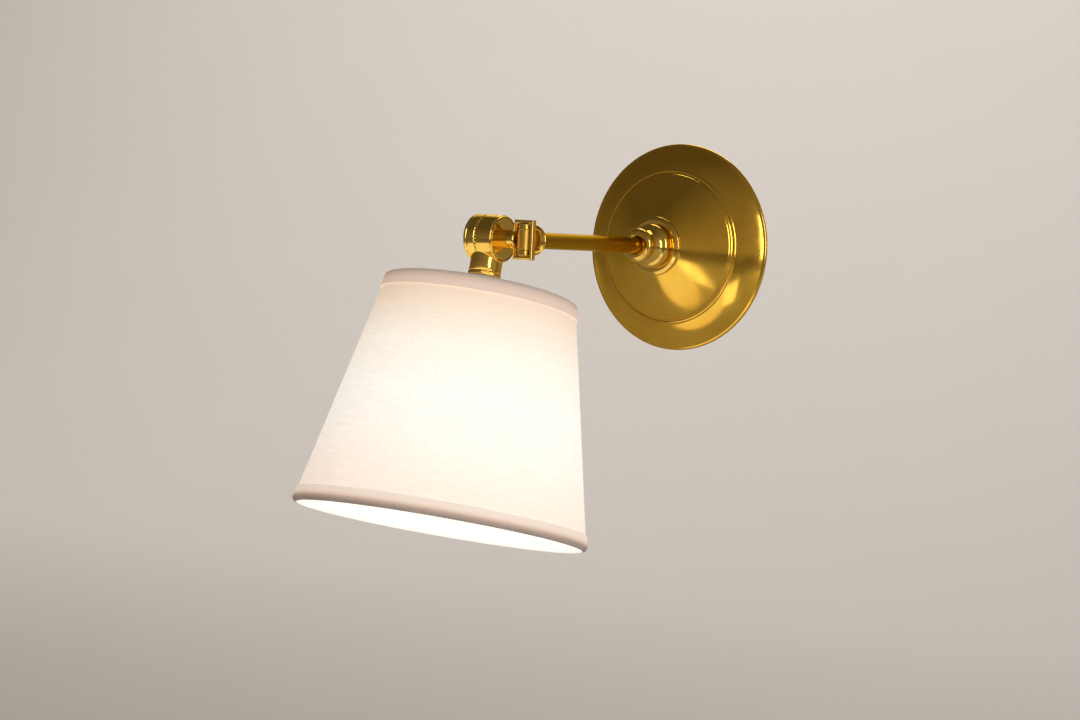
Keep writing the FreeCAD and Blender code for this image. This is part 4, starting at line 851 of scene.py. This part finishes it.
# ---------------------------------------------------------------- lamp
# A small clear filament lamp with a screw cap: blown glass, a glass mount and four glowing sticks.
glass = Finish("lamp_glass", Roughness=0.03, IOR=1.5)
glass_ripple = glass.noise(60.0, 2.0, 0.5)
glass.feed(Base_Color=glass.mix(glass_ripple, (0.97, 0.96, 0.93, 1), (1.0, 0.99, 0.97, 1)))
glass.skin.inputs["Transmission Weight"].default_value = 1.0
glass.relief(glass_ripple, 0.0002)
FOOT, BALL, GLASS = 64.95, 98.45, 22.5
INSIDE = GLASS - 0.8
flare = 0.6 * GLASS
lamp_outline = np.vstack([
    [[6.8, FOOT]], arc((6.8, FOOT + 0.6), (flare, BALL - 0.8 * GLASS), 26.0, 1, 12),
    arc((flare, BALL - 0.8 * GLASS), (0, BALL + GLASS), GLASS, -1, 40), [[0, BALL + GLASS]],
    [[0, BALL + INSIDE]],
    arc((0, BALL + INSIDE), (0.6 * INSIDE, BALL - 0.8 * INSIDE), INSIDE, 1, 40),
    [[6.0, FOOT + 1.0], [6.0, FOOT]],
])
lamp_glass = revolved("lamp_glass_blown", SHADE, lamp_outline, sides=96, crisp=60)
clothe(lamp_glass, glass)
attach(lamp_glass, "shade_side")
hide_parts("bulb_glass")
clothe(node["bulb_mount"], glass)

LAMP_PITCH = 2.8


def lamp_thread(turn, radius, height):
    """The rolled thread of the cap: radius - 0.22 mm * (1 - cos(2 pi height / pitch + u))."""
    fade = np.clip((height - 47.5) / 1.5, 0, 1) * np.clip((62.5 - height) / 1.5, 0, 1)
    depth = fade * (radius > 6.5)
    return radius - 0.22 * depth * (1 - np.cos(2 * math.pi * height / LAMP_PITCH + turn))


lamp_cap = revolved("lamp_cap_rolled", SHADE, np.vstack([
    [[0.01, 44.9], [2.0, 44.9], [2.4, 45.3], [6.6, 46.6]],
    np.stack([np.full(90, 6.9), np.linspace(47.0, 64.85, 90)], 1),
    [[5.9, 64.85], [5.9, 48.0], [0.01, 48.0]]]), sides=72, crisp=55, swell=lamp_thread)
clothe(lamp_cap, nickel)
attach(lamp_cap, "shade_side")
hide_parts("bulb_cap")

glowing = Finish("glowing_sticks", Roughness=0.6)
glowing_cloud = glowing.noise(1500.0, 2.0, 0.5)
glowing.feed(Base_Color=glowing.mix(glowing_cloud, (0.85, 0.60, 0.25, 1), (0.95, 0.75, 0.40, 1)),
             Emission_Color=glowing.mix(glowing_cloud, (1.0, 0.78, 0.45, 1), (1.0, 0.88, 0.62, 1)))
glowing.skin.inputs["Emission Strength"].default_value = 3.0
clothe(node["filament_sticks"], glowing)

# ---------------------------------------------------------------- studio
# A pale floor that sweeps up behind, four soft lamps and the camera at the angle of the photograph.
FLOOR = -0.62
sweep_turn = np.linspace(0, math.pi / 2, 24)
sweep_y = np.concatenate([[-9.0, -2.0, 1.0], 2.4 + 2.0 * np.sin(sweep_turn), [4.4, 4.4]])
sweep_z = np.concatenate([[FLOOR] * 3, FLOOR + 2.0 * (1 - np.cos(sweep_turn)), [3.0, 6.5]])
sweep_x = np.linspace(-9, 9, 5)
sweep_grid = np.stack([np.repeat(sweep_x[None], sweep_y.size, 0), np.repeat(sweep_y[:, None], 5, 1),
                       np.repeat(sweep_z[:, None], 5, 1)], -1)
floor = surface("studio_sweep", sweep_grid[:, ::-1], (False, False))
paper = Finish("studio_paper", Roughness=0.9)
paper_grain = paper.noise(3.0, 2.0, 0.5)
paper.feed(Base_Color=paper.mix(paper_grain, (0.75, 0.725, 0.695, 1), (0.77, 0.745, 0.715, 1)))
clothe(floor, paper)

world = bpy.data.worlds.new("studio")
bpy.context.scene.world = world
world.use_nodes = True
sky = world.node_tree
way_out = sky.nodes.new("ShaderNodeSeparateXYZ")
sky.links.new(sky.nodes.new("ShaderNodeTexCoord").outputs["Generated"], way_out.inputs[0])
side, high = (Signal(sky, way_out.outputs[index]) for index in (0, 2))
level = side * 0.12 - high * 0.20 + 0.29
level = level.maths("MAXIMUM", level, 0.10)
warm = sky.nodes.new("ShaderNodeMix")
warm.data_type = "RGBA"
warm.inputs[6].default_value = (0, 0, 0, 1)
warm.inputs[7].default_value = (1.0, 0.84, 0.66, 1)
sky.links.new(level.socket, warm.inputs[0])
sky.links.new(warm.outputs[2], sky.nodes["Background"].inputs["Color"])


def softbox(name, place, target, size, watts, tint):
    """A rectangular area lamp that faces a point."""
    data = bpy.data.lights.new(name, "AREA")
    data.shape = "RECTANGLE"
    data.size, data.size_y = size
    data.energy = watts
    data.color = tint
    lamp = bpy.data.objects.new(name, data)
    lamp.location = place
    lamp.rotation_euler = (Vector(target) - Vector(place)).to_track_quat("-Z", "Y").to_euler()
    bpy.context.scene.collection.objects.link(lamp)
    return lamp


softbox("key_softbox", (2.00, -1.30, 0.48), (0, -0.1, 0.0), (0.62, 1.40), 15, (1.0, 0.97, 0.93))
softbox("top_softbox", (-0.5, 0.9, 1.9), (0, -0.1, -0.05), (1.2, 0.9), 9, (1.0, 0.98, 0.96))
softbox("low_softbox", (0.16, -0.92, -0.50), (0.04, 0, -0.02), (0.42, 0.36), 0.62, (1.0, 0.95, 0.86))
softbox("sweep_softbox", (-2.4, 1.7, 3.8), (-2.6, 4.4, 2.8), (5.0, 1.0), 172, (1.0, 0.98, 0.96))

FOCAL_PIXELS, FRAME_WIDTH, SENSOR, DISTANCE = 2729.44, 1080, 36.0, 1.6818
SHIFT_RIGHT, SHIFT_UP = 0.03014, 0.03205
azimuth, elevation, roll = (math.radians(angle) for angle in (35.03, 2.58, -2.82))
back = Vector((math.sin(azimuth) * math.cos(elevation), -math.cos(azimuth) * math.cos(elevation),
               math.sin(elevation)))
level = Vector((math.cos(azimuth), math.sin(azimuth), 0))
upright = back.cross(level)
right = level * math.cos(roll) - upright * math.sin(roll)
up = upright * math.cos(roll) + level * math.sin(roll)
aim = Vector((0, -0.100, -0.040)) - right * SHIFT_RIGHT - up * SHIFT_UP
camera_data = bpy.data.cameras.new("photograph")
camera_data.sensor_fit = "HORIZONTAL"
camera_data.sensor_width = SENSOR
camera_data.lens = FOCAL_PIXELS / FRAME_WIDTH * SENSOR
camera_data.dof.use_dof = False
camera = bpy.data.objects.new("photograph", camera_data)
turned_to = Matrix((right, up, back)).transposed().to_4x4()
turned_to.translation = aim + back * DISTANCE
camera.matrix_world = turned_to
bpy.context.scene.collection.objects.link(camera)
bpy.context.scene.camera = camera
bpy.context.scene.view_settings.view_transform = "Standard"
